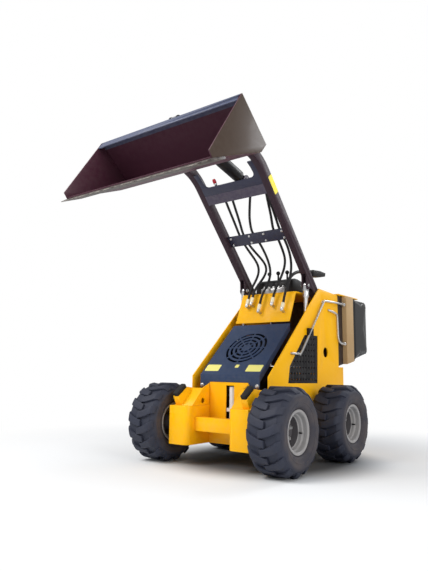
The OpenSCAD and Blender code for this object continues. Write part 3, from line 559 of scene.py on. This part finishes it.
def addStudio(values):
    deselectAll()
    bpy.ops.mesh.primitive_plane_add(size=2 * values["floorHalf"], location=(0, 0, 0))
    floor = bpy.context.object
    floor.name = "studioFloor"
    mat = bpy.data.materials.new("paleFloor")
    mat.use_nodes = True
    tree = mat.node_tree
    shader = tree.nodes["Principled BSDF"]
    shader.inputs["Roughness"].default_value = values["floorRough"]
    shader.inputs["Specular IOR Level"].default_value = values["floorShine"]
    at = addNode(tree, "ShaderNodeTexCoord").outputs["Object"]
    far = addNode(tree, "ShaderNodeVectorMath", operation="LENGTH")
    tree.links.new(at, far.inputs[0])
    # painted shadow: the floor's base colour darkens to a dark grey near a point under the machine
    shadowDistance = addNode(tree, "ShaderNodeVectorMath", operation="DISTANCE")
    tree.links.new(at, shadowDistance.inputs[0])
    shadowDistance.inputs[1].default_value = values["paintedShadowMiddle"]
    paintedShadow = addRange(tree, shadowDistance.outputs["Value"], values["paintedShadowFrom"], values["paintedShadowTo"], smooth=True)
    tree.links.new(addMix(tree, paintedShadow, values["paintedShadowColor"], values["floorColor"]), shader.inputs["Base Color"])
    fade = addRange(tree, far.outputs["Value"], values["fadeFrom"], values["fadeTo"], smooth=True)
    seen = addNode(tree, "ShaderNodeLightPath").outputs["Is Camera Ray"]
    white = addNode(tree, "ShaderNodeEmission")
    white.inputs["Color"].default_value = (1, 1, 1, 1)
    white.inputs["Strength"].default_value = 1.0
    mix = addNode(tree, "ShaderNodeMixShader")
    tree.links.new(addMath(tree, "MULTIPLY", fade, seen), mix.inputs[0])
    tree.links.new(shader.outputs[0], mix.inputs[1])
    tree.links.new(white.outputs[0], mix.inputs[2])
    tree.links.new(mix.outputs[0], tree.nodes["Material Output"].inputs["Surface"])
    floor.data.materials.append(mat)
    world = bpy.data.worlds.new("studioWorld")
    scene.world = world
    world.use_nodes = True
    tree = world.node_tree
    back = tree.nodes["Background"]
    back.inputs["Color"].default_value = (1, 1, 1, 1)
    path = addNode(tree, "ShaderNodeLightPath")
    mirror = addRange(tree, path.outputs["Is Glossy Ray"], 0.0, 1.0, values["worldLevel"], values["mirrorLevel"])
    level = addMath(tree, "MAXIMUM", mirror, path.outputs["Is Camera Ray"])
    tree.links.new(level, back.inputs["Strength"])
    for name, place, size, power, color in values["lamps"]:
        data = bpy.data.lights.new(name, "AREA")
        data.shape = "DISK"
        data.size = size
        data.energy = power
        data.color = color
        lamp = bpy.data.objects.new(name, data)
        scene.collection.objects.link(lamp)
        lamp.location = place
        toAim = Vector(values["lampAim"]) - Vector(place)
        lamp.rotation_euler = toAim.to_track_quat("-Z", "Y").to_euler()


addStudio(studio)
print("floor and lamps set")


# hoses: up from the bulkhead's elbows, back over the deck, behind the cross plate and on to the cross tube
hoseValues = {
    "radius": 0.008,
    "elbowOut": 0.030,
    "crimp": 0.050,
    "bulkheadFoot": (-0.1056, 0.8435),
    "bulkheadTop": (-0.1876, 1.0350),
    "pivot": (-0.425, 0.987),
    "armAngle": 47,
    "plateFoot": 0.511,
    "plateHeight": 0.079,
    "tubeFoot": 0.852,
    "up": 0.0163,
    "portY": (-0.128, -0.098, -0.026, 0.065, 0.150),
    "row": (0.54, 0.6, 0.33, 0.54, 0.33),
    "plateY": (-0.130, -0.098, -0.013, 0.135, 0.177),
    "tubeY": (-0.118, -0.064, 0.072, 0.188, 0.204),
    "slack": (0.146, 0.196, 0.134, 0.092, 0.086),
    "lift": (0, 0, 0, 0, -0.012),
    "sway": (0, 0, -0.024, 0, 0),
    "steps": 6,
    "eased": 36,
    "leave": 0.012,
    "arc": [(0.12, 0.062), (0.52, 0.122), (0.95, 0.196), (0.93, 0.262)],
    "approach": [(-0.110, 0.2, 0), (-0.020, 0.07, 0), (0.015, 0, 0.003)],
    "meetLead": 0.006,
    "meetGap": 0.001,
    "tubeGap": 0.0003,
}


def alongArm(values, s, up, y):
    turn = math.radians(values["armAngle"])
    x = values["pivot"][0] + s * math.cos(turn) - up * math.sin(turn)
    z = values["pivot"][1] + s * math.sin(turn) + up * math.cos(turn)
    return Vector((x, y, z))


def bulkheadWays(values):
    foot, top = Vector(values["bulkheadFoot"]), Vector(values["bulkheadTop"])
    rise = (top - foot).normalized()
    return foot, top, rise, Vector((rise.y, -rise.x))


def elbowAt(values, i):
    foot, top, rise, out = bulkheadWays(values)
    return foot + values["row"][i] * (top - foot) + values["elbowOut"] * out


def hoseRoute(values, i):
    rise = bulkheadWays(values)[2]
    start = elbowAt(values, i) + values["crimp"] * rise
    k, up, foot = values["slack"][i], values["up"], values["plateFoot"]
    y, endY = values["portY"][i], values["plateY"][i]
    step = (endY - y) / 6
    meet = foot + values["plateHeight"] / 2

    def over(back, high, part):
        return Vector((start.x - back * k, y + part * step, start.y + high))

    out = start + values["leave"] * rise
    guide = [Vector((out.x, y, out.y))]
    guide += [over(back, high, part + 1) for part, (back, high) in enumerate(values["arc"])]
    for (s, share, more), way in zip(values["approach"], (y + 5 * step, endY, endY)):
        guide.append(alongArm(values, foot + s, up + share * k + more, way))
    guide.append(alongArm(values, meet - values["meetLead"], up, endY))
    end = alongArm(values, meet - values["meetGap"], up, endY)
    route = [over(0, 0, 0)] + curveThrough(guide, values["steps"]) + [end]
    for _ in range(values["eased"]):
        middle = [(a + 2 * b + c) / 4 for a, b, c in zip(route[1:], route[2:], route[3:])]
        route = route[:2] + middle + route[-1:]
    return route


def boomRoute(values, i):
    up, foot, end = values["up"], values["plateFoot"], values["tubeFoot"]
    meet = foot + values["plateHeight"] / 2
    span = end - meet
    y, endY, sway = values["plateY"][i], values["tubeY"][i], values["sway"][i]
    step = (endY - y) / 4
    endUp = up + values["lift"][i]
    guide = [
        alongArm(values, meet + 0.008, up, y),
        alongArm(values, meet + values["plateHeight"] / 2 + 0.010, up, y + sway / 2),
        alongArm(values, meet + 0.45 * span, (up + endUp) / 2, y + 1.6 * step + sway),
        alongArm(values, meet + 0.75 * span, endUp, y + 3 * step + sway / 2),
        alongArm(values, end - 0.011, endUp, endY),
    ]
    first, last = alongArm(values, meet, up, y), alongArm(values, end - values["tubeGap"], endUp, endY)
    return [first] + curveThrough(guide, values["steps"]) + [last]


def addHoses(values):
    for i in range(len(values["portY"])):
        route = hoseRoute(values, i)
        tube = tubeAlong("deckHose%d" % (i + 1), route, values["radius"])
        coverWith(tube, "hoseRubber")
        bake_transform(tube)
        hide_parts("hoses")
        route = boomRoute(values, i)
        tube = tubeAlong("boomHose%d" % (i + 1), route, values["radius"])
        finishPiece(tube, "boom", "hoseRubber", ["boom_hoses"])


addHoses(hoseValues)
print("hoses laid")


# plates, castings and bars: the CAD shape with its corners rounded as bent or ground steel has them;
# each row is the finish, the rounding, the body and the angle from which an edge is rounded
dressed = {
    "chain_cases": ("yellowPaint", 0.0035, "chassis", 32),
    "belly": ("yellowPaint", 0.0015, "chassis", 32),
    "front_plate": ("yellowPaint", 0.0012, "chassis", 32),
    "cross_beam": ("yellowPaint", 0.003, "chassis", 32),
    "gussets": ("yellowPaint", 0.0015, "chassis", 32),
    "side_towers": ("yellowPaint", 0.0015, "chassis", 32),
    "bulkhead": ("yellowPaint", 0.0015, "chassis", 32),
    "deck": ("yellowPaint", 0.0015, "chassis", 32),
    "rear_panel": ("yellowPaint", 0.0015, "chassis", 32),
    "hood": ("hoodPaint", 0.0012, "chassis", 32),
    "vents": ("blackPaint", 0.0008, "chassis", 32),
    # the rear box is black steel; its brown tint is painted bounce light from the yellow paint
    "rear_box": ("boxPaintedBounce", 0.002, "chassis", 32),
    "pad_backing": ("tanBoard", 0.003, "chassis", 32),
    "console": ("blackPaint", 0.006, "chassis", 32),
    "valve_block": ("zincSteel", 0.0015, "chassis", 40),
    "levers": ("blackPaint", 0.001, "chassis", 50),
    "grab_bar": ("blackPaint", 0.003, "chassis", 50),
    "pipes": ("zincSteel", 0.0006, "chassis", 60),
    "pipe_fittings": ("zincSteel", 0.0008, "chassis", 50),
    "pipe_clamps": ("blackPaint", 0.0015, "chassis", 32),
    "hose_fittings": ("zincSteel", 0.0008, "chassis", 60),
    "engine": ("blackPaint", 0.004, "chassis", 32),
    "axles": ("castSteel", 0.002, "chassis", 50),
    "filter": ("whiteCan", 0.002, "chassis", 50),
    "bumpers": ("bumperRubber", 0.003, "chassis", 32),
    "cylinder_mounts": ("blackPaint", 0.001, "chassis", 32),
    "pivot_pins": ("zincSteel", 0.0015, "chassis", 50),
    "arm_left": ("armPaint", 0.0035, "boom", 32),
    "arm_right": ("armPaint", 0.0035, "boom", 32),
    "cross_plate": ("platePaint", 0.0012, "boom", 32),
    "cross_tube": ("tubePaint", 0.0025, "boom", 32),
    "window_plate": ("platePaint", 0.0012, "boom", 32),
    "boom_pins": ("zincSteel", 0.0012, "boom", 50),
    "bucket_shell": ("bucketPaint", 0.0015, "bucket", 20),
    "bucket_sides": ("bucketPaint", 0.0015, "bucket", 32),
    "cutting_edge": ("edgePaint", 0.0015, "bucket", 32),
    "coupler": ("blackPaint", 0.002, "bucket", 40),
    "lift_barrel_l": ("blackPaint", 0.0015, "lift_barrel_left", 40),
    "lift_barrel_r": ("blackPaint", 0.0015, "lift_barrel_right", 40),
    "lift_rod_l": ("polishedRod", 0.001, "lift_rod_left", 40),
    "lift_rod_r": ("polishedRod", 0.001, "lift_rod_right", 40),
    "tilt_barrel": ("blackPaint", 0.0015, "tilt_barrel_body", 40),
    "tilt_rod": ("polishedRod", 0.001, "tilt_rod_body", 40),
}


flatWithin = 0.5


def roundedCopy(nodeName, pieceName, edge, limit):
    piece = bpy.data.objects.new(pieceName, nodes[nodeName].data.copy())
    scene.collection.objects.link(piece)
    editAll(piece)
    bpy.ops.mesh.customdata_custom_splitnormals_clear()
    bpy.ops.mesh.remove_doubles(threshold=mergeGap)
    bpy.ops.mesh.dissolve_limited(angle_limit=math.radians(flatWithin))
    objectMode()
    roundEdges(piece, edge, 2, limit)
    smoothByAngle(piece, max(smoothFrom, limit))
    return piece


shown = {}
for nodeName, (look, edge, body, limit) in dressed.items():
    words = nodeName.split("_")
    pieceName = words[0] + "".join(w.capitalize() for w in words[1:]) + "Dressed"
    shown[nodeName] = finishPiece(roundedCopy(nodeName, pieceName, edge, limit), body, look, [nodeName])
print("plates dressed:", len(dressed))


def toneFaces(piece, look, wanted):
    piece.data.materials.append(finish[look])
    for face in piece.data.polygons:
        if wanted(face):
            face.material_index = len(piece.data.materials) - 1


# the bucket's folded lip: its outward faces are a lighter blue, a painted sheen; the outer faces of its side plates are
# a brown-grey
bucketTones = {
    "lipCorner": (0.8579, 0, 1.8483),
    "wallWay": (0.757, 0, 0.653),
    "wallFacing": (0.653, 0, -0.757),
    "lipFacing": (0.838, 0, 0.546),
    "band": 0.044,
    "sheenFacingLimit": 0.8,
    "sideY": 0.506,
}
lipCorner, wallWay = Vector(bucketTones["lipCorner"]), Vector(bucketTones["wallWay"])
sheenBandFoot = lipCorner - bucketTones["band"] * wallWay
editAll(shown["bucket_shell"])
bpy.ops.mesh.bisect(plane_co=sheenBandFoot, plane_no=wallWay)
objectMode()


# faces of the lip band that face outward, which take the painted sheen
def inLipSheen(face):
    above = (face.center - sheenBandFoot).dot(wallWay) > 0
    ways = [Vector(bucketTones[k]) for k in ("wallFacing", "lipFacing")]
    return above and any(face.normal.dot(way) > bucketTones["sheenFacingLimit"] for way in ways)


toneFaces(shown["bucket_shell"], "lipPaintedSheen", inLipSheen)
toneFaces(shown["bucket_sides"], "sidePaint", lambda face: abs(face.center.y) > bucketTones["sideY"])


# tyres: a round-shouldered carcass with two staggered rows of curved lugs
tyreValues = {
    "wheels": {"fl": (0.335, 1), "fr": (0.335, -1), "rl": (-0.335, 1), "rr": (-0.335, -1)},
    "halfTrack": 0.420,
    "outer": 0.2285,
    "section": [
        (0.1020, 0.0826), (0.1175, 0.0826), (0.1235, 0.0930), (0.1330, 0.1000), (0.1480, 0.1046), (0.1500, 0.1062),
        (0.1530, 0.1064), (0.1550, 0.1056), (0.1680, 0.1070), (0.1820, 0.1062), (0.1930, 0.1000),
        (0.2040, 0.0890), (0.2110, 0.0780), (0.2135, 0.0640),
    ],
    "turns": 120,
    "lugCount": 15,
    "lugFrom": -0.016,
    "lugTo": 0.1015,
    "lugWidth": 0.038,
    "lugFlare": 0.013,
    "lugSweep": 0.20,
    "lugDepth": 0.021,
    "shoulderFrom": 0.072,
    "shoulderDrop": 0.030,
    "lugEdge": 0.0028,
}


def addLug(values):
    deselectAll()
    bpy.ops.mesh.primitive_grid_add(x_subdivisions=4, y_subdivisions=12, size=1, location=(0, 0, 0))
    lug = bpy.context.object
    span = values["lugTo"] - values["lugFrom"]
    for v in lug.data.vertices:
        side, way = v.co.x, v.co.y + 0.5
        y = values["lugFrom"] + way * span
        beyond = max(0.0, (y - values["shoulderFrom"]) / (values["lugTo"] - values["shoulderFrom"]))
        r = values["outer"] - values["shoulderDrop"] * beyond ** 1.5
        width = values["lugWidth"] + values["lugFlare"] * way
        turn = values["lugSweep"] * way ** 1.6 + side * width / values["outer"]
        v.co = (r * math.cos(turn), y, r * math.sin(turn))
    editAll(lug)
    if lug.data.polygons[0].normal.x < 0:
        bpy.ops.mesh.flip_normals()
    objectMode()
    thick = lug.modifiers.new("depth", "SOLIDIFY")
    thick.thickness = values["lugDepth"]
    thick.offset = -1
    applyModifiers(lug)
    roundEdges(lug, values["lugEdge"], 2, 40)
    return lug


def addTyre(values):
    half = values["section"]
    line = curveThrough([(r, -y, 0) for r, y in half[1:]] + [(r, y, 0) for r, y in reversed(half[1:])], 3)
    ends = [Vector((half[0][0], -half[0][1], 0)), Vector((half[0][0], half[0][1], 0))]
    carcass = drawLine("tyreCarcass", [ends[0]] + line + [ends[1]])
    spinLine(carcass, values["turns"])
    lug = addLug(values)
    pitch = 2 * math.pi / values["lugCount"]
    flip = Matrix.Diagonal((1, -1, 1, 1))
    parts = [carcass]
    for i in range(values["lugCount"]):
        parts.append(copyMoved(lug, "lugOut", Matrix.Rotation(i * pitch, 4, "Y")))
        parts.append(copyMoved(lug, "lugIn", Matrix.Rotation((i + 0.5) * pitch, 4, "Y") @ flip))
    bpy.data.objects.remove(lug)
    tyre = joinPieces(parts, "tyreMould")
    smoothByAngle(tyre, 40)
    return tyre


def wheelPlace(values, x, side):
    return Matrix.Translation((x, side * values["halfTrack"], values["outer"])) @ Matrix.Diagonal((1, side, 1, 1))


mould = addTyre(tyreValues)
for corner, (x, side) in tyreValues["wheels"].items():
    tyre = copyMoved(mould, "tyre" + corner.capitalize(), wheelPlace(tyreValues, x, side))
    finishPiece(tyre, "wheel_" + corner, "tyreRubber", ["tyre_" + corner])
bpy.data.objects.remove(mould)
print("tyres made")


# a dark cooling fan in its ring, under the hood's grille
fanValues = {
    "middle": (0.06486, 0, 0.67449),
    "axis": (0.6776, 0, 0.7354),
    "ring": [(0.150, -0.012), (0.152, -0.014), (0.152, -0.062), (0.140, -0.066), (0.0, -0.066)],
    "hub": [(0.0, -0.030), (0.030, -0.030), (0.036, -0.036), (0.036, -0.064)],
    "turns": 64,
    "blades": 7,
    "bladeFrom": 0.032,
    "bladeTo": 0.140,
    "bladeWide": 0.052,
    "bladeThick": 0.0025,
    "bladeDeep": -0.046,
    "pitch": 28,
}


def addFan(values):
    parts = []
    for label in ("ring", "hub"):
        part = drawLine(label, [(r, 0, z) for r, z in values[label]])
        spinLine(part, values["turns"], axis=(0, 0, 1))
        parts.append(part)
    reach = values["bladeTo"] - values["bladeFrom"]
    for i in range(values["blades"]):
        deselectAll()
        bpy.ops.mesh.primitive_grid_add(x_subdivisions=8, y_subdivisions=4, size=1, location=(0, 0, 0))
        blade = bpy.context.object
        for v in blade.data.vertices:
            out, wide = v.co.x + 0.5, v.co.y
            turn = math.radians(values["pitch"]) * (1.3 - 0.6 * out)
            across = wide * values["bladeWide"] * (0.6 + 0.6 * out)
            v.co = (values["bladeFrom"] + out * reach, across * math.cos(turn),
                    values["bladeDeep"] + across * math.sin(turn))
        thick = blade.modifiers.new("thick", "SOLIDIFY")
        thick.thickness = values["bladeThick"]
        applyModifiers(blade)
        blade.data.transform(Matrix.Rotation(2 * math.pi * i / values["blades"], 4, "Z"))
        parts.append(blade)
    fan = joinPieces(parts, "coolingFan")
    smoothByAngle(fan)
    fan.data.transform(turnTo(values["axis"], values["middle"]))
    finishPiece(fan, "chassis", "blackPaint")


addFan(fanValues)
print("fan made")


# rims: a pressed barrel with a curled flange and two steps down to the disc, plainer at the back; the disc and the deep
# inner barrel are darker, a painted shade in the rim's well
rimValues = {
    "front": [
        (0.1018, 0.0826), (0.1120, 0.0828), (0.1145, 0.0850), (0.1145, 0.0880), (0.1125, 0.0889), (0.1040, 0.0880),
        (0.0995, 0.0840), (0.0980, 0.0780), (0.0972, 0.0640), (0.0945, 0.0600), (0.0900, 0.0580),
        (0.0880, 0.0540), (0.0872, 0.0440), (0.0850, 0.0405), (0.0815, 0.0390), (0.0800, 0.0350), (0.0792, -0.0140),
        (0.0770, -0.0185), (0.0700, -0.0200), (0.0470, -0.0200), (0.0445, -0.0180), (0.0445, 0.0060),
        (0.0430, 0.0080), (0.0, 0.0080),
    ],
    "behind": [
        (0.0, -0.0975), (0.0450, -0.0975), (0.0450, -0.0250), (0.0770, -0.0250), (0.0800, -0.0350), (0.0850, -0.0420),
        (0.0970, -0.0560), (0.0980, -0.0780), (0.1040, -0.0880), (0.1125, -0.0889), (0.1145, -0.0860),
        (0.1120, -0.0828), (0.1018, -0.0826), (0.1015, -0.0560), (0.0880, -0.0430), (0.0880, 0.0430),
        (0.1015, 0.0560), (0.1018, 0.0826),
    ],
    "turns": 96,
    "edge": 0.0006,
    "paintedShadeReach": 0.0812,
}


def addRim(values):
    line = values["front"] + values["behind"]
    rim = drawLine("rimMould", [(r, y, 0) for r, y in line])
    spinLine(rim, values["turns"])
    roundEdges(rim, values["edge"], 2, 30)
    smoothByAngle(rim, 34)
    rim.data.materials.append(finish["rimPaint"])
    return rim


# faces deep in the rim's well, darkened as painted shade
def inRimShade(face):
    return math.hypot(face.center.x, face.center.z) < rimValues["paintedShadeReach"]


mould = addRim(rimValues)
for corner, (x, side) in tyreValues["wheels"].items():
    rim = copyMoved(mould, "rim" + corner.capitalize(), Matrix.Identity(4))
    finishPiece(rim, "wheel_" + corner, "rimPaint", ["rim_" + corner])
    toneFaces(rim, "discPaintedShade", inRimShade)
    rim.data.transform(wheelPlace(tyreValues, x, side))
    if side < 0:
        rim.data.flip_normals()
bpy.data.objects.remove(mould)
print("rims made")


# bolts: a washer under a hex head, standing on +Z
boltValues = {"washer": 1.0, "washerHigh": 0.22, "head": 0.74, "headHigh": 0.62, "edge": 0.06}


def addBolt(values):
    deselectAll()
    bpy.ops.mesh.primitive_cylinder_add(vertices=28, radius=values["washer"], depth=values["washerHigh"],
                                        location=(0, 0, values["washerHigh"] / 2))
    washer = bpy.context.object
    bpy.ops.mesh.primitive_cylinder_add(vertices=6, radius=values["head"], depth=values["headHigh"],
                                        location=(0, 0, values["washerHigh"] + values["headHigh"] / 2))
    head = bpy.context.object
    applyPlace(washer)
    applyPlace(head)
    bolt = joinPieces([washer, head], "boltPattern")
    roundEdges(bolt, values["edge"], 2, 40)
    smoothByAngle(bolt)
    return bolt


bolt = addBolt(boltValues)


def addBolts(name, body, look, radius, spots):
    scale = Matrix.Scale(radius, 4)
    parts = [copyMoved(bolt, name, turnTo(way, at) @ scale) for at, way in spots]
    return finishPiece(joinPieces(parts, name), body, look)


def mirrored(spots):
    return spots + [((x, -y, z), (a, -b, c)) for (x, y, z), (a, b, c) in spots]


def platePoint(s, up, y):
    return tuple(alongArm(hoseValues, s, up, y))


# the way the cross plate faces, down and forward
downFace = (0.731, 0, -0.682)
boltSpots = {
    "hoodBolts": ("chassis", "zincSteel", 0.013, mirrored([((0.2462, 0.198, 0.448), (1, 0, 0))])),
    "ventBolts": ("chassis", "blackPaint", 0.0055, mirrored([
        ((0.018, 0.2725, 0.480), (0, 1, 0)), ((-0.325, 0.2725, 0.480), (0, 1, 0)),
        ((-0.325, 0.2725, 0.744), (0, 1, 0))])),
    "plateBolts": ("boom", "zincSteel", 0.008, [
        (platePoint(s, 0, y), downFace) for s in (0.526, 0.575) for y in (-0.196, -0.05, 0.06, 0.196)]),
    "liftBolts": ("boom", "zincSteel", 0.0125, mirrored([((-0.258, 0.2195, 1.085), (0, -1, 0))])),
}
for name, (body, look, radius, spots) in boltSpots.items():
    addBolts(name, body, look, radius, spots)


# wheel nuts, hub caps and valve stems
hubValues = {"nuts": 5, "nutCircle": 0.0480, "faceY": 0.0130, "nutSize": 0.0115, "capY": 0.0080,
             "capTurns": 48, "cap": [
                 (0.0, 0.0090), (0.020, 0.0090), (0.0245, 0.0050), (0.0640, 0.0050), (0.0665, 0.0030),
                 (0.0665, -0.0015), (0.0440, -0.0015)],
             "stem": [
                 (-0.086, 0.046, -0.012), (-0.078, 0.050, -0.011), (-0.070, 0.060, -0.010),
                 (-0.066, 0.070, -0.010)],
             "stemRadius": 0.0042}


def addHub(values, corner, place):
    spots = []
    for i in range(values["nuts"]):
        turn = 2 * math.pi * (i + 0.25) / values["nuts"]
        at = (values["nutCircle"] * math.cos(turn), values["faceY"], values["nutCircle"] * math.sin(turn))
        spots.append((tuple(place @ Vector(at)), tuple(place.to_3x3() @ Vector((0, 1, 0)))))
    addBolts("wheelNuts" + corner.capitalize(), "wheel_" + corner, "zincSteel", values["nutSize"], spots)
    line = drawLine("hubCap", [(r, values["capY"] + y, 0) for r, y in values["cap"]])
    spinLine(line, values["capTurns"])
    smoothByAngle(line)
    cap = copyMoved(line, "hubCap" + corner.capitalize(), place)
    bpy.data.objects.remove(line)
    # the hub cap takes the same painted shade as the rim's well
    finishPiece(cap, "wheel_" + corner, "discPaintedShade")
    stem = tubeAlong("valveStem" + corner.capitalize(), [place @ p for p in curveThrough(values["stem"], 4)],
                     values["stemRadius"])
    finishPiece(stem, "wheel_" + corner, "blackPaint")


for corner, (x, side) in tyreValues["wheels"].items():
    addHub(hubValues, corner, wheelPlace(tyreValues, x, side))
bpy.data.objects.remove(bolt)
print("wheels fitted")


# cream sleeves on the hose ends
sleeveValues = {"from": 0.014, "to": 0.049, "radius": 0.0121, "edge": 0.0016}


def addSleeves(values):
    rise = bulkheadWays(hoseValues)[2]
    parts = []
    for i, y in enumerate(hoseValues["portY"]):
        at = elbowAt(hoseValues, i)
        ends = [Vector((at.x + d * rise.x, y, at.y + d * rise.y)) for d in (values["from"], values["to"])]
        sleeve = tubeAlong("sleeve", ends, values["radius"], 6)
        roundEdges(sleeve, values["edge"], 2, 50)
        parts.append(sleeve)
    finishPiece(joinPieces(parts, "hoseSleeves"), "chassis", "creamSleeve")


addSleeves(sleeveValues)


# a spare port on the window plate, closed by a red cap
capValues = {
    "foot": (0.2464, -0.112, 1.6869),
    "way": (0.682, 0, 0.731),
    "stub": [(0.0, -0.022), (0.0085, -0.022), (0.0085, 0.010), (0.0115, 0.010), (0.0115, 0.018), (0.0, 0.018)],
    "cap": [(0.0, 0.018), (0.0105, 0.018), (0.0118, 0.022), (0.0112, 0.036), (0.0080, 0.043), (0.0, 0.045)],
    "turns": 32,
    "edge": 0.0008,
}


def addTurned(values, label, name, look):
    piece = drawLine(name, [(r, 0, z) for r, z in values[label]])
    spinLine(piece, values["turns"], axis=(0, 0, 1))
    roundEdges(piece, values["edge"], 2, 35)
    smoothByAngle(piece)
    piece.data.transform(turnTo(values["way"], values["foot"]))
    finishPiece(piece, "boom", look)


addTurned(capValues, "stub", "sparePort", "zincSteel")
addTurned(capValues, "cap", "sparePortCap", "redCap")


# blank stickers, a hair proud of what carries them
patchValues = {"corner": 0.006, "film": 0.0006}


def addPatch(name, body, look, at, along, facing, size):
    deselectAll()
    bpy.ops.mesh.primitive_plane_add(size=1, location=(0, 0, 0))
    patch = bpy.context.object
    patch.name = patch.data.name = name
    patch.scale = (size[0], size[1], 1)
    applyPlace(patch)
    editAll(patch)
    bpy.ops.mesh.bevel(offset=patchValues["corner"], segments=4, affect="VERTICES")
    objectMode()
    thick = patch.modifiers.new("film", "SOLIDIFY")
    thick.thickness = patchValues["film"]
    thick.offset = 1
    applyModifiers(patch)
    up = Vector(facing).normalized()
    run = Vector(along).normalized()
    turn = Matrix((run, up.cross(run), up)).transposed().to_4x4()
    patch.data.transform(Matrix.Translation(at) @ turn)
    finishPiece(patch, body, look)


slope = {"foot": (0.246, 0.511), "angle": 42.66}


def onHood(s, y):
    turn = math.radians(slope["angle"])
    return (slope["foot"][0] - s * math.cos(turn), y, slope["foot"][1] + s * math.sin(turn))


slopeUp = (math.sin(math.radians(slope["angle"])), 0, math.cos(math.radians(slope["angle"])))
patches = {
    "hoodStickerLeft": ("chassis", "paleDecal", onHood(0.058, 0.150), (0, 1, 0), slopeUp, (0.104, 0.056)),
    "hoodStickerRight": ("chassis", "paleDecal", onHood(0.058, -0.150), (0, 1, 0), slopeUp, (0.104, 0.056)),
    "hoodStickerMiddle": ("chassis", "paleDecal", onHood(0.074, 0.020), (0, 1, 0), slopeUp, (0.026, 0.026)),
    "armSticker": ("boom", "yellowDecal", (0.172, 0.2611, 1.640), (0.682, 0, 0.731), (0, 1, 0), (0.118, 0.044)),
}
for name, values in patches.items():
    addPatch(name, *values)
print("stickers placed")


# operator's pad: a vinyl-covered foam block, swollen between its edges and held flat on its board
padValues = {"voxel": 0.008, "shrink": 0.005, "heldFrom": -0.872, "pressure": 4.0, "frames": 20, "cap": 0.008}


def addPad(values):
    pad = bpy.data.objects.new("operatorPadSkin", nodes["operator_pad"].data.copy())
    scene.collection.objects.link(pad)
    mergeAndTurnOut(pad)
    remesh = pad.modifiers.new("skin", "REMESH")
    remesh.mode = "VOXEL"
    remesh.voxel_size = values["voxel"]
    applyModifiers(pad)
    for v, n in [(v, v.normal.copy()) for v in pad.data.vertices]:
        if v.co.x < values["heldFrom"]:
            v.co -= values["shrink"] * n
    first = [v.co.copy() for v in pad.data.vertices]
    held = pad.vertex_groups.new(name="held")
    held.add([v.index for v in pad.data.vertices if v.co.x >= values["heldFrom"]], 1.0, "REPLACE")
    cloth = pad.modifiers.new("swell", "CLOTH")
    cloth.settings.vertex_group_mass = "held"
    cloth.settings.use_pressure = True
    cloth.settings.uniform_pressure_force = values["pressure"]
    cloth.settings.effector_weights.gravity = 0
    cloth.point_cache.frame_end = values["frames"]
    for f in range(1, values["frames"] + 1):
        scene.frame_set(f)
    applyModifiers(pad)
    scene.frame_set(1)
    for v, a in zip(pad.data.vertices, first):
        move = v.co - a
        if move.length > values["cap"]:
            v.co = a + move * values["cap"] / move.length
    finer = pad.modifiers.new("finer", "SUBSURF")
    finer.levels = finer.render_levels = 1
    applyModifiers(pad)
    smoothByAngle(pad, 60)
    finishPiece(pad, "chassis", "padVinyl", ["operator_pad"])


addPad(padValues)
print("pad made")
